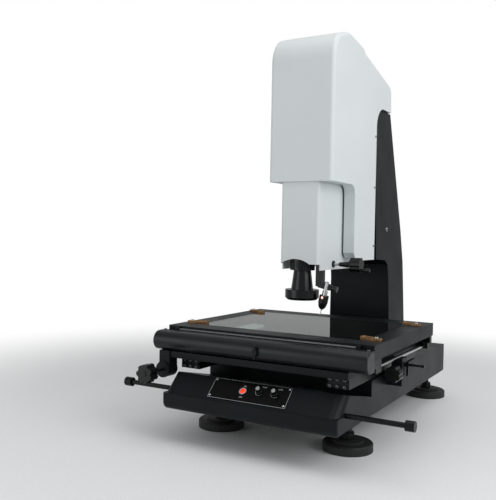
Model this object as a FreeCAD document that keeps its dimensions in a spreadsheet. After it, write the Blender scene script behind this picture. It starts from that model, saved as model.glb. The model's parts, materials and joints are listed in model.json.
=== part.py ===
import FreeCAD, Part
import os
import re
import Sketcher

# Bench-top coordinate measuring machine with a video head and a touch probe.
# Millimetres. +X is the machine's right, +Y its back, +Z up. The origin is on the floor,
# midway between the four feet.

SIZES = {
    # feet
    "foot_inset_x": 55.5,
    "foot_inset_y": 25,
    "pad_radius": 66,
    "pad_side": 19,
    "pad_crown": 3,
    "pad_boss_radius": 42,
    "pad_boss_height": 6,
    "pad_socket": 14,
    "stud_radius": 10,
    "stud_seat": 22,
    "stud_hexagon_height": 18,
    "nut_radius": 18,
    "nut_height": 13,
    # base casting, its console and its platform
    "base_clearance": 87,
    "base_width": 500,
    "base_front": 578,
    "base_rear": 390,
    "ledge_height": 44,
    "ledge_step": 4,
    "nose_round": 20,
    "nose_end_round": 8,
    "console_slope": 43,
    "console_height": 92,
    "console_corner": 24,
    "platform_height": 96,
    "platform_front": 346,
    "valley_height": 54,
    "deck_thickness": 20,
    "rib_thickness": 16,
    "middle_cells_inset_front": 88,
    "middle_cells_inset_rear": 20,
    "side_cell_width": 74,
    "side_cell_inset": 18,
    "side_cells_from_feet": 55,
    # carrying bars
    "bar_radius": 6.5,
    "bar_reach": 167,
    "bar_seat": 60,
    "bar_front": 523,
    "bar_height": 44,
    "bar_head_radius": 12.5,
    "bar_head_width": 22,
    # control panel on the console's slope
    "panel_width": 224,
    "panel_height": 61,
    "panel_thickness": 2,
    "panel_rise": 37.5,
    "panel_screw_inset": 6,
    "panel_well_depth": 30,
    "panel_well_margin": 9,
    "button_x": -18,
    "button_radius": 7,
    "button_travel": 2.5,
    "bezel_radius": 10,
    "bezel_wall": 1.55,
    "bezel_height": 2.5,
    "knob_one_x": 27,
    "knob_two_x": 71,
    "knob_rise": 6.5,
    "knob_radius": 8,
    "knob_length": 13,
    "knob_shaft_radius": 3,
    "bush_wall": 1.95,
    "bush_nut_height": 2,
    "panel_screw_radius": 1.5,
    "panel_screw_depth": 7,
    "panel_screw_head": 3,
    "panel_screw_head_height": 1.4,
    # stage ways: fixed bars on the platform and on the carriage, sliding bars over them
    "way_gap": 0.4,
    "way_relief": 3,
    "ridge_depth": 6,
    "y_way_height": 34,
    "y_way_inset": 64,
    "y_fixed_width": 36,
    "y_fixed_length": 530,
    "y_slide_width": 60,
    "x_way_height": 25,
    "x_way_inset": 28,
    "x_fixed_width": 21,
    "x_slide_width": 22,
    "x_slide_inset": 3,
    # Y carriage
    "carriage_overhang": 8,
    "carriage_lip": 38,
    "carriage_tail": 14,
    "carriage_thickness": 18,
    "carriage_window_inset": 36,
    "carriage_window_front": 390,
    "carriage_window_rear": -10,
    "cover_side": 5.5,
    "cover_setback": 12,
    "cover_depth": 51,
    "cover_height": 52,
    "cover_lever_x": 15,
    "cover_lever_pin": 4,
    "cover_lever_width": 7,
    "cover_lever_length": 34,
    "lever_lift": 7.5,
    "lever_hub_radius": 7,
    "lever_pin_radius": 3,
    "lever_inset": 11,
    "lever_drop": 92,
    "lever_reach": 38,
    "lever_tab_length": 28,
    # Y drive rod, its brackets and its drive unit
    "y_rod_radius": 5,
    "y_rod_out": 14,
    "y_rod_drop": 35,
    "y_bracket_width": 29,
    "y_bracket_setback": 110,
    "y_bracket_depth": 40,
    "y_bracket_rear_depth": 17,
    "y_bracket_drop": 6,
    "bar_screw_radius": 4.2,
    "bar_screw_height": 4,
    "bar_screw_pitch": 19,
    "bar_screw_rise": 9,
    "small_screw_radius": 3.5,
    "small_screw_height": 3,
    "small_screw_inset": 9,
    "y_unit_front": 221,
    "y_unit_depth": 43,
    "y_unit_head_width": 30,
    "y_unit_gap": 2,
    "y_unit_drop": 147,
    "running_gap": 0.3,
    "bore_clearance": 0.05,
    # table
    "table_width": 606,
    "table_depth": 526,
    "table_middle": -220,
    "table_thickness": 37,
    "table_corner": 5,
    "frame_side": 56,
    "frame_end": 65,
    "glass_thickness": 10,
    "glass_ledge": 12,
    "glass_setback": 0.3,
    "clip_length": 64,
    "clip_width": 24,
    "clip_thickness": 6,
    "clip_out": 15,
    "clip_inset": 24,
    "clip_screw_out": 18,
    "clip_screw_radius": 2.5,
    "clip_screw_depth": 12,
    "clip_screw_head_height": 3,
    "x_rod_radius": 3,
    "x_rod_inset": 37,
    "x_rod_standoff": 6,
    "x_rod_drop": 8,
    # handwheels
    "wheel_radius": 25,
    "wheel_length": 32,
    "wheel_lobes": 7,
    "wheel_shaft_radius": 4,
    "x_unit_out": 20,
    "x_unit_setback": 5,
    "x_unit_depth": 40,
    "x_unit_drop": 114,
    "x_unit_radius": 22,
    "x_wheel_distance": 49,
    "y_wheel_out": 22,
    "y_wheel_drop": 108,
    "y_wheel_radius": 22,
    "y_wheel_distance": 17,
    "y_wheel_length": 36,
    # column
    "column_foot_half": 110,
    "column_top_half": 92,
    "column_foot_front": 209,
    "column_setback": 5,
    "column_knee_height": 465,
    "column_knee_set": 17,
    "column_waist_height": 579,
    "column_waist_set": 42,
    "knee_lip": 3,
    "knee_top": 42,
    "knee_top_drop": 7,
    "knee_bend": 15,
    "knee_bend_drop": 23,
    "knee_side": 6,
    "knee_side_drop": 75,
    "column_top_front": 80,
    "column_top_rear": 229,
    "column_top": 971,
    "column_wall": 20,
    "column_core_side": 16,
    "column_round": 8,
    "bolt_y": 180,
    "bolt_z": 580,
    "bolt_radius": 7,
    "bolt_sink": 4,
    "bolt_height": 4,
    # head frame, Z ways and slide
    "frame_half_width": 80,
    "frame_front": 10,
    "frame_bottom": 485,
    "frame_top": 960,
    "flange_front": 39,
    "flange_depth": 26,
    "flange_rise": 20,
    "flange_height": 230,
    "z_way_x": 40,
    "z_way_width": 20,
    "z_way_depth": 18,
    "z_runner_height": 60,
    "z_runner_side": 5,
    "z_runner_low": 20,
    "z_runner_high": 180,
    "slide_front": 36,
    "slide_thickness": 16,
    "slide_bottom": 505,
    "slide_top": 835,
    # white covers
    "shell_half_width": 100,
    "shell_wall": 3,
    "shell_front": 283,
    "shell_brow": 709,
    "shell_bottom": 482,
    "shell_peak": 1143,
    "shell_peak_run": 93,
    "shell_peak_rise": 17,
    "shell_roll": 43,
    "shell_roll_rise": 76,
    "shell_step_front": 60,
    "shell_step_drop": 19,
    "shell_step_run": 18,
    "shell_step_rise": 13,
    "shell_tail": 18,
    "shell_tail_rise": 83,
    "shell_rear": 207,
    "shell_notch": 973,
    "shell_notch_round": 65,
    "shell_cheek_front": 109,
    "cheek_foot": 65,
    "cheek_toe": 12,
    "cheek_rise": 8,
    "cheek_round": 28,
    "shell_back": 69,
    "shell_round": 12,
    "shell_screw_radius": 4,
    "shell_screw_head": 2.5,
    "shell_screw_inset": 12,
    "cover_gap": 6,
    "inner_half_width": 60,
    "inner_front": 278,
    "inner_back": 30,
    "inner_bottom": 457,
    "inner_brow": 474,
    "inner_brow_depth": 16,
    "inner_top": 847,
    "inner_round": 9,
    "arch_radius": 79,
    "arch_rise": 14,
    # lens, lamp ring and camera
    "lens_x": -9,
    "lens_y": -233,
    "lens_core_radius": 20,
    "lens_collar_wall": 4,
    "lens_rim": 5,
    "lens_barrel_radius": 25,
    "lens_cone_radius": 32,
    "lens_bottom": 380,
    "lens_top": 625,
    "zoom_radius": 36,
    "zoom_bottom": 455,
    "zoom_height": 34,
    "zoom_ribs": 24,
    "zoom_flute_radius": 1.8,
    "ring_radius": 49,
    "ring_bore": 27,
    "ring_bottom": 369,
    "ring_height": 30,
    "ring_round": 7,
    "ring_lip": 3,
    "camera_width": 62,
    "camera_height": 82,
    "bracket_bottom": 545,
    "bracket_thickness": 30,
    "bracket_lip": 6,
    "bracket_left": 10,
    "bracket_right": 26,
    # probe
    "probe_x": 66,
    "probe_drop": 53,
    "probe_tilt": 12,
    "shank_radius": 6,
    "shank_up": 20,
    "collar_radius": 7.5,
    "probe_body_radius": 13.5,
    "probe_body_start": 20,
    "probe_body_taper": 41,
    "probe_body_end": 54,
    "probe_nose_length": 6,
    "stylus_length": 19,
    "stylus_ball": 1.5,
    "probe_lamp_radius": 3.2,
    "arm_x": 34,
    "arm_width": 22,
    "arm_thickness": 18,
    "clamp_reach": 26,
    "clamp_height": 16,
    "clamp_front": 2,
    "lock_screw_radius": 3,
    # Z handwheel
    "z_wheel_y": -170,
    "z_wheel_height": 473,
    "z_wheel_radius": 21,
    "z_wheel_length": 31,
    "z_wheel_reach": 117,
    "grip_throw": 15,
    "grip_pin_radius": 2.5,
    "z_unit_width": 37,
    "z_unit_depth": 36,
    "z_unit_drop": 15,
    "z_shaft_seat": 29,
    # lamp under the glass
    "lamp_radius": 28,
    "lamp_height": 64,
    "lamp_fins": 3,
}

# Sizes that follow from others: the feet, cells and column go with the base, the carriage with the
# base's width, its cover, ways and drive with the table, and the probe with the inner cover
FOLLOWING = {
    "foot_pitch_x": "base_width - 2 * foot_inset_x",
    "foot_pitch_y": "2 * (base_rear - foot_inset_y)",
    "pad_height": "pad_side + pad_crown + pad_boss_height",
    "middle_cell_width": "base_width - 2 * (side_cell_inset + side_cell_width + rib_thickness)",
    "middle_cells_front": "base_front - middle_cells_inset_front",
    "middle_cells_rear": "base_rear - middle_cells_inset_rear",
    "side_cells_reach": "foot_pitch_y / 2 - side_cells_from_feet",
    "shell_roll_end": "shell_peak - shell_peak_rise",
    "shell_front_top": "shell_peak - shell_peak_rise - shell_roll_rise",
    "column_foot_rear": "base_rear - column_setback",
    "y_way_offset": "base_width / 2 - y_way_inset",
    "carriage_width": "base_width + 2 * carriage_overhang",
    "carriage_window_width": "2 * (y_way_offset - carriage_window_inset)",
    "y_rod_x": "carriage_width / 2 + y_rod_out",
    "y_wheel_x": "carriage_width / 2 + y_wheel_out",
    "y_unit_width": "carriage_overhang + y_unit_gap + y_unit_head_width",
    "x_unit_x": "carriage_width / 2 + x_unit_out",
    "table_front": "table_depth / 2 - table_middle",
    "cover_back": "table_front + cover_setback",
    "cover_front": "cover_back + cover_depth",
    "cover_width": "table_width + 2 * cover_side",
    "carriage_front": "cover_back + carriage_lip",
    "carriage_rear": "table_middle + table_depth / 2 + carriage_tail",
    "y_bracket_front": "carriage_front - y_bracket_setback",
    "x_unit_front": "cover_front - x_unit_setback",
    "x_way_offset": "table_depth / 2 - x_way_inset",
    "x_slide_length": "table_width - 2 * x_slide_inset",
    "glass_width": "table_width - 2 * frame_side",
    "glass_depth": "table_depth - 2 * frame_end",
    "clip_x": "glass_width / 2 + clip_out",
    "clip_y": "glass_depth / 2 - clip_inset",
    "x_rod_half_length": "table_width / 2 - x_rod_inset",
    "probe_height": "inner_bottom - probe_drop",
}

# Heights and places that follow from the sizes
LEDGE = "(base_clearance + ledge_height)"
PLATFORM = "(base_clearance + platform_height)"
CARRIAGE = f"({PLATFORM} + y_way_height)"
CARRIAGE_TOP = f"({CARRIAGE} + carriage_thickness)"
TABLE = f"({CARRIAGE_TOP} + x_way_height)"
TABLE_TOP = f"({TABLE} + table_thickness)"
CONSOLE_FOOT = "(base_front - ledge_step)"
PANEL_OUT = "panel_thickness"
FRAME_BACK = "column_top_front"

document = FreeCAD.newDocument("MeasuringMachine")
sheet = document.addObject("Spreadsheet::Sheet", "Sizes")
for row, (alias, number) in enumerate(SIZES.items(), start=1):
    sheet.set(f"A{row}", alias)
    sheet.set(f"B{row}", str(number))
    sheet.setAlias(f"B{row}", alias)
for row, (alias, formula) in enumerate(FOLLOWING.items(), start=len(SIZES) + 1):
    sheet.set(f"A{row}", alias)
    sheet.set(f"B{row}", "=" + formula)
    sheet.setAlias(f"B{row}", alias)
document.recompute()

# Edges are picked by their bounds, and the bounds of rounded shapes are this much looser
SLACK = 0.05

nodes = []


def bound(text):
    """Turn the plain size names of an expression into cells of the sheet."""
    def cell(word):
        name = word.group()
        return "Sizes." + name if name in SIZES or name in FOLLOWING else name
    return re.sub(r"[a-z_][a-z0-9_]*", cell, str(text))


def value(text):
    """The number that an expression has with the present sizes."""
    return float(sheet.evalExpression(bound(text)))


def bind(thing, **texts):
    for name, text in texts.items():
        thing.setExpression(name, bound(text))
    return thing


def place(thing, x, y, z):
    thing.setExpression("Placement.Base.x", bound(x))
    thing.setExpression("Placement.Base.y", bound(y))
    thing.setExpression("Placement.Base.z", bound(z))
    return thing


def turn(thing, axis, angle):
    """Turn a piece about one axis before it is placed; the angle may be a size."""
    thing.Placement = FreeCAD.Placement(FreeCAD.Vector(), FreeCAD.Rotation(axis, value(angle)))
    thing.setExpression("Placement.Rotation.Angle", bound(angle))
    return thing


AXES = {
    "X": (FreeCAD.Vector(0, 1, 0), 90),
    "Y": (FreeCAD.Vector(-1, 0, 0), 90),
    "Z": (FreeCAD.Vector(0, 0, 1), 0),
}


def box(name, x, y, z, length, depth, height):
    thing = document.addObject("Part::Box", name)
    bind(thing, Length=length, Width=depth, Height=height)
    return place(thing, x, y, z)


def rod(name, axis, radius, length, x, y, z):
    """A cylinder that starts at the point and runs along +X, +Y or +Z."""
    thing = document.addObject("Part::Cylinder", name)
    direction, angle = AXES[axis]
    thing.Placement = FreeCAD.Placement(FreeCAD.Vector(), FreeCAD.Rotation(direction, angle))
    bind(thing, Radius=radius, Height=length)
    return place(thing, x, y, z)


def cone(name, axis, radius, end_radius, length, x, y, z):
    thing = document.addObject("Part::Cone", name)
    direction, angle = AXES[axis]
    thing.Placement = FreeCAD.Placement(FreeCAD.Vector(), FreeCAD.Rotation(direction, angle))
    bind(thing, Radius1=radius, Radius2=end_radius, Height=length)
    return place(thing, x, y, z)


def ball(name, radius, x, y, z):
    thing = document.addObject("Part::Sphere", name)
    bind(thing, Radius=radius)
    return place(thing, x, y, z)


def hexagon(name, radius, height, x, y, z):
    thing = document.addObject("Part::Prism", name)
    thing.Polygon = 6
    bind(thing, Circumradius=radius, Height=height)
    return place(thing, x, y, z)


def fused(name, *pieces):
    thing = document.addObject("Part::MultiFuse", name)
    thing.Shapes = list(pieces)
    return thing


def cut(name, base, *tools):
    thing = document.addObject("Part::Cut", name)
    thing.Base = base
    thing.Tool = tools[0] if len(tools) == 1 else fused(name + "_tools", *tools)
    return thing


def group(name, *pieces):
    thing = document.addObject("Part::Compound", name)
    thing.Links = list(pieces)
    return thing


def mirrored(name, source, x=0, y=0):
    """A copy of a piece across the machine's middle: x=1 side to side, y=1 front to back."""
    thing = document.addObject("Part::Mirroring", name)
    thing.Source = source
    thing.Normal = FreeCAD.Vector(x, y, 0)
    return thing


def both_sides(name, source):
    return group(name, source, mirrored(name + "_left", source, x=1))


def node(label, thing):
    thing.Label = label
    nodes.append(thing)
    return thing


def plane(body, role):
    return [item for item in body.Origin.OriginFeatures if item.Role == role][0]


def sketch_outline(sketch, points):
    """Draw a closed outline. A point is (u, v); an arc is a point marked 'arc' between its ends."""
    corners = [point for point in points if point[0] != "arc"]
    seeds = [FreeCAD.Vector(value(point[-2]), value(point[-1]), 0) for point in points]
    ends = [index for index, point in enumerate(points) if point[0] != "arc"]
    starts = []
    for position, index in enumerate(ends):
        following = ends[(position + 1) % len(ends)]
        through = (index + 1) % len(points)
        if points[through][0] == "arc":
            curve = Part.Arc(seeds[index], seeds[through], seeds[following])
            edge = sketch.addGeometry(curve)
            middle = sketch.addGeometry(Part.Point(seeds[through]))
            sketch.toggleConstruction(middle)
            fix_point(sketch, middle, 1, points[through][1], points[through][2])
            sketch.addConstraint(Sketcher.Constraint("PointOnObject", middle, 1, edge))
        else:
            edge = sketch.addGeometry(Part.LineSegment(seeds[index], seeds[following]))
        first = 1
        if sketch.getPoint(edge, 1).distanceToPoint(seeds[index]) > 1e-6:
            first = 2
        starts.append((edge, first, 3 - first))
    for position, (edge, first, last) in enumerate(starts):
        next_edge, next_first, next_last = starts[(position + 1) % len(starts)]
        sketch.addConstraint(Sketcher.Constraint("Coincident", edge, last, next_edge, next_first))
        fix_point(sketch, edge, first, *corners[position])


def fix_point(sketch, edge, end, across, up):
    for kind, text in (("DistanceX", across), ("DistanceY", up)):
        number = sketch.addConstraint(Sketcher.Constraint(kind, -1, 1, edge, end, value(text)))
        sketch.setExpression(f"Constraints[{number}]", bound(text))


def new_sketch(body, name, role):
    sketch = body.newObject("Sketcher::SketchObject", name)
    sketch.AttachmentSupport = [(plane(body, role), "")]
    sketch.MapMode = "FlatFace"
    return sketch


def pad(body, name, role, points, depth):
    """Pad an outline both ways from the body's own origin plane."""
    sketch = new_sketch(body, name + "_outline", role)
    sketch_outline(sketch, points)
    thing = body.newObject("PartDesign::Pad", name)
    thing.Profile = sketch
    thing.SideType = "Symmetric"
    bind(thing, Length=depth)
    body.Tip = thing
    document.recompute()
    return thing


def pocket(body, name, role, points, depth):
    """Cut an outline both ways from the body's own origin plane."""
    before = body.Tip.Shape.Volume
    sketch = new_sketch(body, name + "_outline", role)
    sketch_outline(sketch, points)
    thing = body.newObject("PartDesign::Pocket", name)
    thing.Profile = sketch
    thing.SideType = "Symmetric"
    bind(thing, Length=depth)
    body.Tip = thing
    document.recompute()
    if thing.Shape.Volume >= before:
        raise RuntimeError(name + " takes nothing away")
    return thing


def rounded(body, name, radius, wanted):
    """Round the edges of the body's tip that the test picks."""
    base = body.Tip
    picked = [f"Edge{number}" for number, edge in enumerate(base.Shape.Edges, start=1) if wanted(edge)]
    if not picked:
        raise RuntimeError(name + " finds no edge")
    thing = body.newObject("PartDesign::Fillet", name)
    thing.Base = (base, picked)
    bind(thing, Radius=radius)
    body.Tip = thing
    document.recompute()
    return thing


def new_body(name):
    return document.addObject("PartDesign::Body", name)


def runs_along(edge, axis):
    """True for a straight edge that is parallel to one of the three axes."""
    size = edge.BoundBox
    spans = {"X": size.XLength, "Y": size.YLength, "Z": size.ZLength}
    return spans.pop(axis) > SLACK and max(spans.values()) < SLACK


def near(number, text):
    return abs(number - value(text)) < SLACK


# Feet: a round pad with a boss, a stud with its hexagon and a lock nut under the base

def build_feet():
    x, y = "foot_pitch_x / 2", "foot_pitch_y / 2"
    side = rod("pad_edge", "Z", "pad_radius", "pad_side", x, y, "0")
    crown = cone("pad_crown", "Z", "pad_radius", "pad_radius - pad_crown", "pad_crown", x, y, "pad_side")
    boss = rod("pad_boss", "Z", "pad_boss_radius", "pad_height - pad_side", x, y, "pad_side")
    seat = rod("pad_seat", "Z", "stud_radius + bore_clearance", "pad_socket", x, y, "pad_height - pad_socket")
    pad_piece = cut("pad_piece", fused("pad_blank", side, crown, boss), seat)
    stud_foot = "(pad_height - pad_socket)"
    shaft = rod("stud_shaft", "Z", "stud_radius", f"base_clearance + stud_seat - {stud_foot}", x, y, stud_foot)
    hexagon_blank = hexagon("stud_hexagon", "nut_radius", "stud_hexagon_height", x, y, "pad_height")
    nut_blank = hexagon("nut_blank", "nut_radius", "nut_height", x, y, "base_clearance - nut_height")
    nut_bore = rod("nut_bore", "Z", "stud_radius + bore_clearance", "nut_height", x, y,
                   "base_clearance - nut_height")
    nut = cut("nut", nut_blank, nut_bore)
    for label, piece in (("foot_pads", pad_piece), ("foot_studs", fused("stud", shaft, hexagon_blank)),
                         ("foot_nuts", nut)):
        rear = group(label + "_rear", piece, mirrored(label + "_rear_left", piece, x=1))
        node(label, group(label, rear, mirrored(label + "_front", rear, y=1)))


# Base casting: full-width ledge with a rounded nose, sloping console, valley and platform

def slope_run():
    return "((console_height - ledge_height) / tan(console_slope * 1deg))"


def build_base():
    body = new_body("base_body")
    top = "(base_clearance + console_height)"
    console_top_front = f"(-{CONSOLE_FOOT} + {slope_run()})"
    pad(body, "upper", "YZ_Plane", [
        (f"-{CONSOLE_FOOT}", LEDGE),
        ("base_rear", LEDGE),
        ("base_rear", PLATFORM),
        ("-platform_front", PLATFORM),
        ("-platform_front", "base_clearance + valley_height"),
        (console_top_front, top),
    ], "base_width")
    rounded(body, "console_ends", "console_corner", lambda edge: near(edge.BoundBox.ZMax, top)
            and near(edge.BoundBox.ZMin, LEDGE) and edge.BoundBox.XLength < SLACK)
    pad(body, "ledge", "YZ_Plane", [
        ("-base_front", "base_clearance"),
        ("base_rear", "base_clearance"),
        ("base_rear", LEDGE),
        ("-base_front", LEDGE),
    ], "base_width")
    rounded(body, "nose_under", "nose_round", lambda edge: near(edge.BoundBox.ZMax, "base_clearance")
            and near(edge.BoundBox.YMax, "-base_front"))
    rounded(body, "nose_ends", "nose_end_round", lambda edge: runs_along(edge, "Z")
            and near(edge.BoundBox.YMin, "-base_front"))
    rounded(body, "platform_rim", "ledge_step / 2", lambda edge: runs_along(edge, "X")
            and near(edge.BoundBox.ZMax, PLATFORM) and near(edge.BoundBox.YMin, "-platform_front"))
    x, y = "foot_pitch_x / 2", "foot_pitch_y / 2"
    bore = rod("stud_bore", "Z", "stud_radius + bore_clearance", "stud_seat", x, y, "base_clearance")
    bores = group("stud_bores_rear", bore, mirrored("stud_bore_left", bore, x=1))
    all_bores = group("stud_bores", bores, mirrored("stud_bores_front", bores, y=1))
    bar_bore = rod("bar_bore", "X", "bar_radius + bore_clearance", "bar_seat",
                   "base_width / 2 - bar_seat", "-bar_front", "base_clearance + bar_height")
    well = box("panel_well", "0", "0", "0", "panel_width - 2 * panel_well_margin",
               "panel_height - 2 * panel_well_margin", "panel_well_depth")
    on_slope(well, "-panel_width / 2 + panel_well_margin",
             "panel_rise - panel_height / 2 + panel_well_margin", "-panel_well_depth")
    screw_holes = [slope_rod(f"screw_hole_{number}", x, rise, "panel_screw_radius + bore_clearance",
                             "panel_screw_depth + 2", "-panel_screw_depth - 1")
                   for number, (x, rise) in enumerate(panel_corners())]
    node("base_casting", cut("base_casting", body, all_bores, both_sides("bar_bores", bar_bore),
                             well, *screw_holes, *underside_cells()))


def underside_cells():
    """Ribbed hollows under the casting: a wide middle lane and one lane along each side."""
    cells = []
    long_cell = "((middle_cells_front + middle_cells_rear - 4 * rib_thickness) / 5)"
    for number in range(5):
        deck = "valley_height" if number == 0 else "platform_height"
        cells.append(box(f"middle_cell_{number}", "-middle_cell_width / 2",
                         f"-middle_cells_front + {number} * ({long_cell} + rib_thickness)",
                         "base_clearance - 1", "middle_cell_width", long_cell,
                         f"{deck} - deck_thickness + 1"))
    side_cell = "((2 * side_cells_reach - 2 * rib_thickness) / 3)"
    for number in range(3):
        cell = box(f"side_cell_{number}", "base_width / 2 - side_cell_inset - side_cell_width",
                   f"-side_cells_reach + {number} * ({side_cell} + rib_thickness)",
                   "base_clearance - 1", "side_cell_width", side_cell, "platform_height - deck_thickness + 1")
        cells.append(both_sides(f"side_cells_{number}", cell))
    return cells


def build_bars():
    y, z = "-bar_front", "base_clearance + bar_height"
    bar = rod("bar", "X", "bar_radius", "bar_seat + bar_reach", "base_width / 2 - bar_seat", y, z)
    head = rod("bar_head", "X", "bar_head_radius", "bar_head_width",
               "base_width / 2 + bar_reach - bar_head_width", y, z)
    node("carrying_bars", both_sides("carrying_bars", fused("carrying_bar", bar, head)))


# Control panel, power button and lamp knobs, all square to the console's slope

def on_slope(thing, x, rise, out):
    """Place a piece on the slope: rise runs up the slope from its foot, out away from it."""
    turn(thing, FreeCAD.Vector(1, 0, 0), "console_slope")
    lean = "(console_slope * 1deg)"
    return place(thing, x,
                 f"-{CONSOLE_FOOT} + ({rise}) * cos{lean} - ({out}) * sin{lean}",
                 f"{LEDGE} + ({rise}) * sin{lean} + ({out}) * cos{lean}")


def slope_rod(name, x, rise, radius, length, out):
    thing = document.addObject("Part::Cylinder", name)
    bind(thing, Radius=radius, Height=length)
    return on_slope(thing, x, rise, out)


def panel_corners():
    across = "(panel_width / 2 - panel_screw_inset)"
    up = "(panel_height / 2 - panel_screw_inset)"
    return [(f"{side} * {across}", f"panel_rise + {level} * {up}") for side in (-1, 1) for level in (-1, 1)]


def build_panel():
    plate = box("panel_plate", "0", "0", "0", "panel_width", "panel_height", "panel_thickness")
    on_slope(plate, "-panel_width / 2", "panel_rise - panel_height / 2", "0")
    holes = [slope_rod("button_hole", "button_x", "panel_rise", "button_radius + bezel_wall + bore_clearance", "8", "-3")]
    for name, x in (("one", "knob_one_x"), ("two", "knob_two_x")):
        holes.append(slope_rod("knob_hole_" + name, x, "panel_rise + knob_rise",
                               "knob_shaft_radius + bush_wall + bore_clearance", "8", "-3"))
    screws = []
    for number, (x, rise) in enumerate(panel_corners()):
        holes.append(slope_rod(f"plate_hole_{number}", x, rise, "panel_screw_radius + bore_clearance", "8", "-3"))
        shank = slope_rod(f"screw_shank_{number}", x, rise, "panel_screw_radius",
                          "panel_screw_depth + panel_thickness", "-panel_screw_depth")
        head = slope_rod(f"screw_head_{number}", x, rise, "panel_screw_head", "panel_screw_head_height",
                         PANEL_OUT)
        screws.append(fused(f"panel_screw_{number}", shank, head))
    node("control_panel", cut("control_panel", plate, *holes))
    node("panel_screws", group("panel_screws", *screws))

    barrel = slope_rod("bezel_barrel", "button_x", "panel_rise", "button_radius + bezel_wall", "18", "-16")
    flange = slope_rod("bezel_flange", "button_x", "panel_rise", "bezel_radius", "bezel_height", PANEL_OUT)
    inside = slope_rod("bezel_bore", "button_x", "panel_rise", "button_radius + running_gap", "19", "-13")
    node("button_bezel", cut("button_bezel", fused("bezel_blank", barrel, flange), inside))
    node("power_button", slope_rod("power_button", "button_x", "panel_rise", "button_radius",
                                   "15", "-13 + button_travel + 1"))
    bushes = []
    for name, x in (("one", "knob_one_x"), ("two", "knob_two_x")):
        rise = "panel_rise + knob_rise"
        sleeve = slope_rod("bush_sleeve_" + name, x, rise, "knob_shaft_radius + bush_wall", "10", "-8")
        nut = slope_rod("bush_nut_" + name, x, rise, "knob_radius - 1.5", "bush_nut_height", PANEL_OUT)
        hole = slope_rod("bush_bore_" + name, x, rise, "knob_shaft_radius + bore_clearance", "16", "-9")
        bushes.append(cut("knob_bush_" + name, fused("bush_blank_" + name, sleeve, nut), hole))
        shaft = slope_rod("light_shaft_" + name, x, rise, "knob_shaft_radius", "12", "-7")
        grip = document.addObject("Part::Cone", "light_grip_" + name)
        bind(grip, Radius1="knob_radius", Radius2="knob_radius - 1", Height="knob_length")
        on_slope(grip, x, rise, "panel_thickness + bush_nut_height + running_gap")
        mark = box("light_mark_" + name, "0", "0", "0", "1.4", "knob_radius", "1.2")
        on_slope(mark, f"{x} - 0.7", f"{rise} + 1", "panel_thickness + bush_nut_height + running_gap + knob_length - 1.2")
        node("light_knob_" + name, cut("light_knob_" + name,
                                       fused("light_blank_" + name, shaft, grip), mark))
    node("knob_bushes", group("knob_bushes", *bushes))


# Lamp that shines up through the glass

def build_lamp():
    x, y = "lens_x", "lens_y"
    tube = rod("lamp_tube", "Z", "lamp_radius - 3", "lamp_height", x, y, PLATFORM)
    flange = rod("lamp_flange", "Z", "lamp_radius", "8", x, y, PLATFORM)
    pitch = "((lamp_height - 16) / (lamp_fins + 1))"
    fins = [rod(f"lamp_fin_{number}", "Z", "lamp_radius", "4", x, y, f"{PLATFORM} + 8 + {number} * {pitch}")
            for number in range(1, int(SIZES["lamp_fins"]) + 1)]
    recess = rod("lamp_recess", "Z", "lamp_radius - 6", "4", x, y, f"{PLATFORM} + lamp_height - 4")
    node("contour_lamp", cut("contour_lamp", fused("lamp_blank", tube, flange, *fins), recess))
    node("contour_lens", rod("contour_lens", "Z", "lamp_radius - 6.05", "3.5", x, y,
                             f"{PLATFORM} + lamp_height - 4"))


# Y ways: fixed bars with a ridge on the platform, grooved bars under the carriage

def build_y_ways():
    middle = f"({PLATFORM} + y_way_height / 2)"
    fixed_rear = "(-platform_front + y_fixed_length)"
    fixed = new_body("y_fixed_body")
    pad(fixed, "fixed_bar", "XZ_Plane", [
        ("y_way_offset - y_fixed_width", PLATFORM),
        ("y_way_offset", PLATFORM),
        ("y_way_offset", f"{middle} - ridge_depth"),
        ("y_way_offset + ridge_depth", middle),
        ("y_way_offset", f"{middle} + ridge_depth"),
        ("y_way_offset", f"{CARRIAGE} - way_relief"),
        ("y_way_offset - y_fixed_width", f"{CARRIAGE} - way_relief"),
    ], "y_fixed_length")
    place(fixed, "0", f"({fixed_rear} - platform_front) / 2", "0")
    counterbores = [rod(f"way_hole_{number}", "Z", "4.5", "5", "y_way_offset - y_fixed_width / 2",
                        f"-platform_front + y_fixed_length * {2 * number + 1} / 12",
                        f"{CARRIAGE} - way_relief - 5") for number in range(6)]
    node("y_fixed_ways", both_sides("y_fixed_ways", cut("y_fixed_way", fixed, *counterbores)))

    inner = "(y_way_offset + way_gap)"
    length = "(cover_back + carriage_rear)"
    slide = new_body("y_slide_body")
    pad(slide, "slide_bar", "XZ_Plane", [
        (inner, f"{PLATFORM} + way_relief"),
        (f"{inner} + y_slide_width", f"{PLATFORM} + way_relief"),
        (f"{inner} + y_slide_width", CARRIAGE),
        (inner, CARRIAGE),
        (inner, f"{middle} + ridge_depth"),
        (f"{inner} + ridge_depth", middle),
        (inner, f"{middle} - ridge_depth"),
    ], length)
    place(slide, "0", "(carriage_rear - cover_back) / 2", "0")
    node("y_slide_bars", both_sides("y_slide_bars", slide))


# Y carriage with its window, X ways, round-nosed front cover, rod brackets and X drive unit

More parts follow.
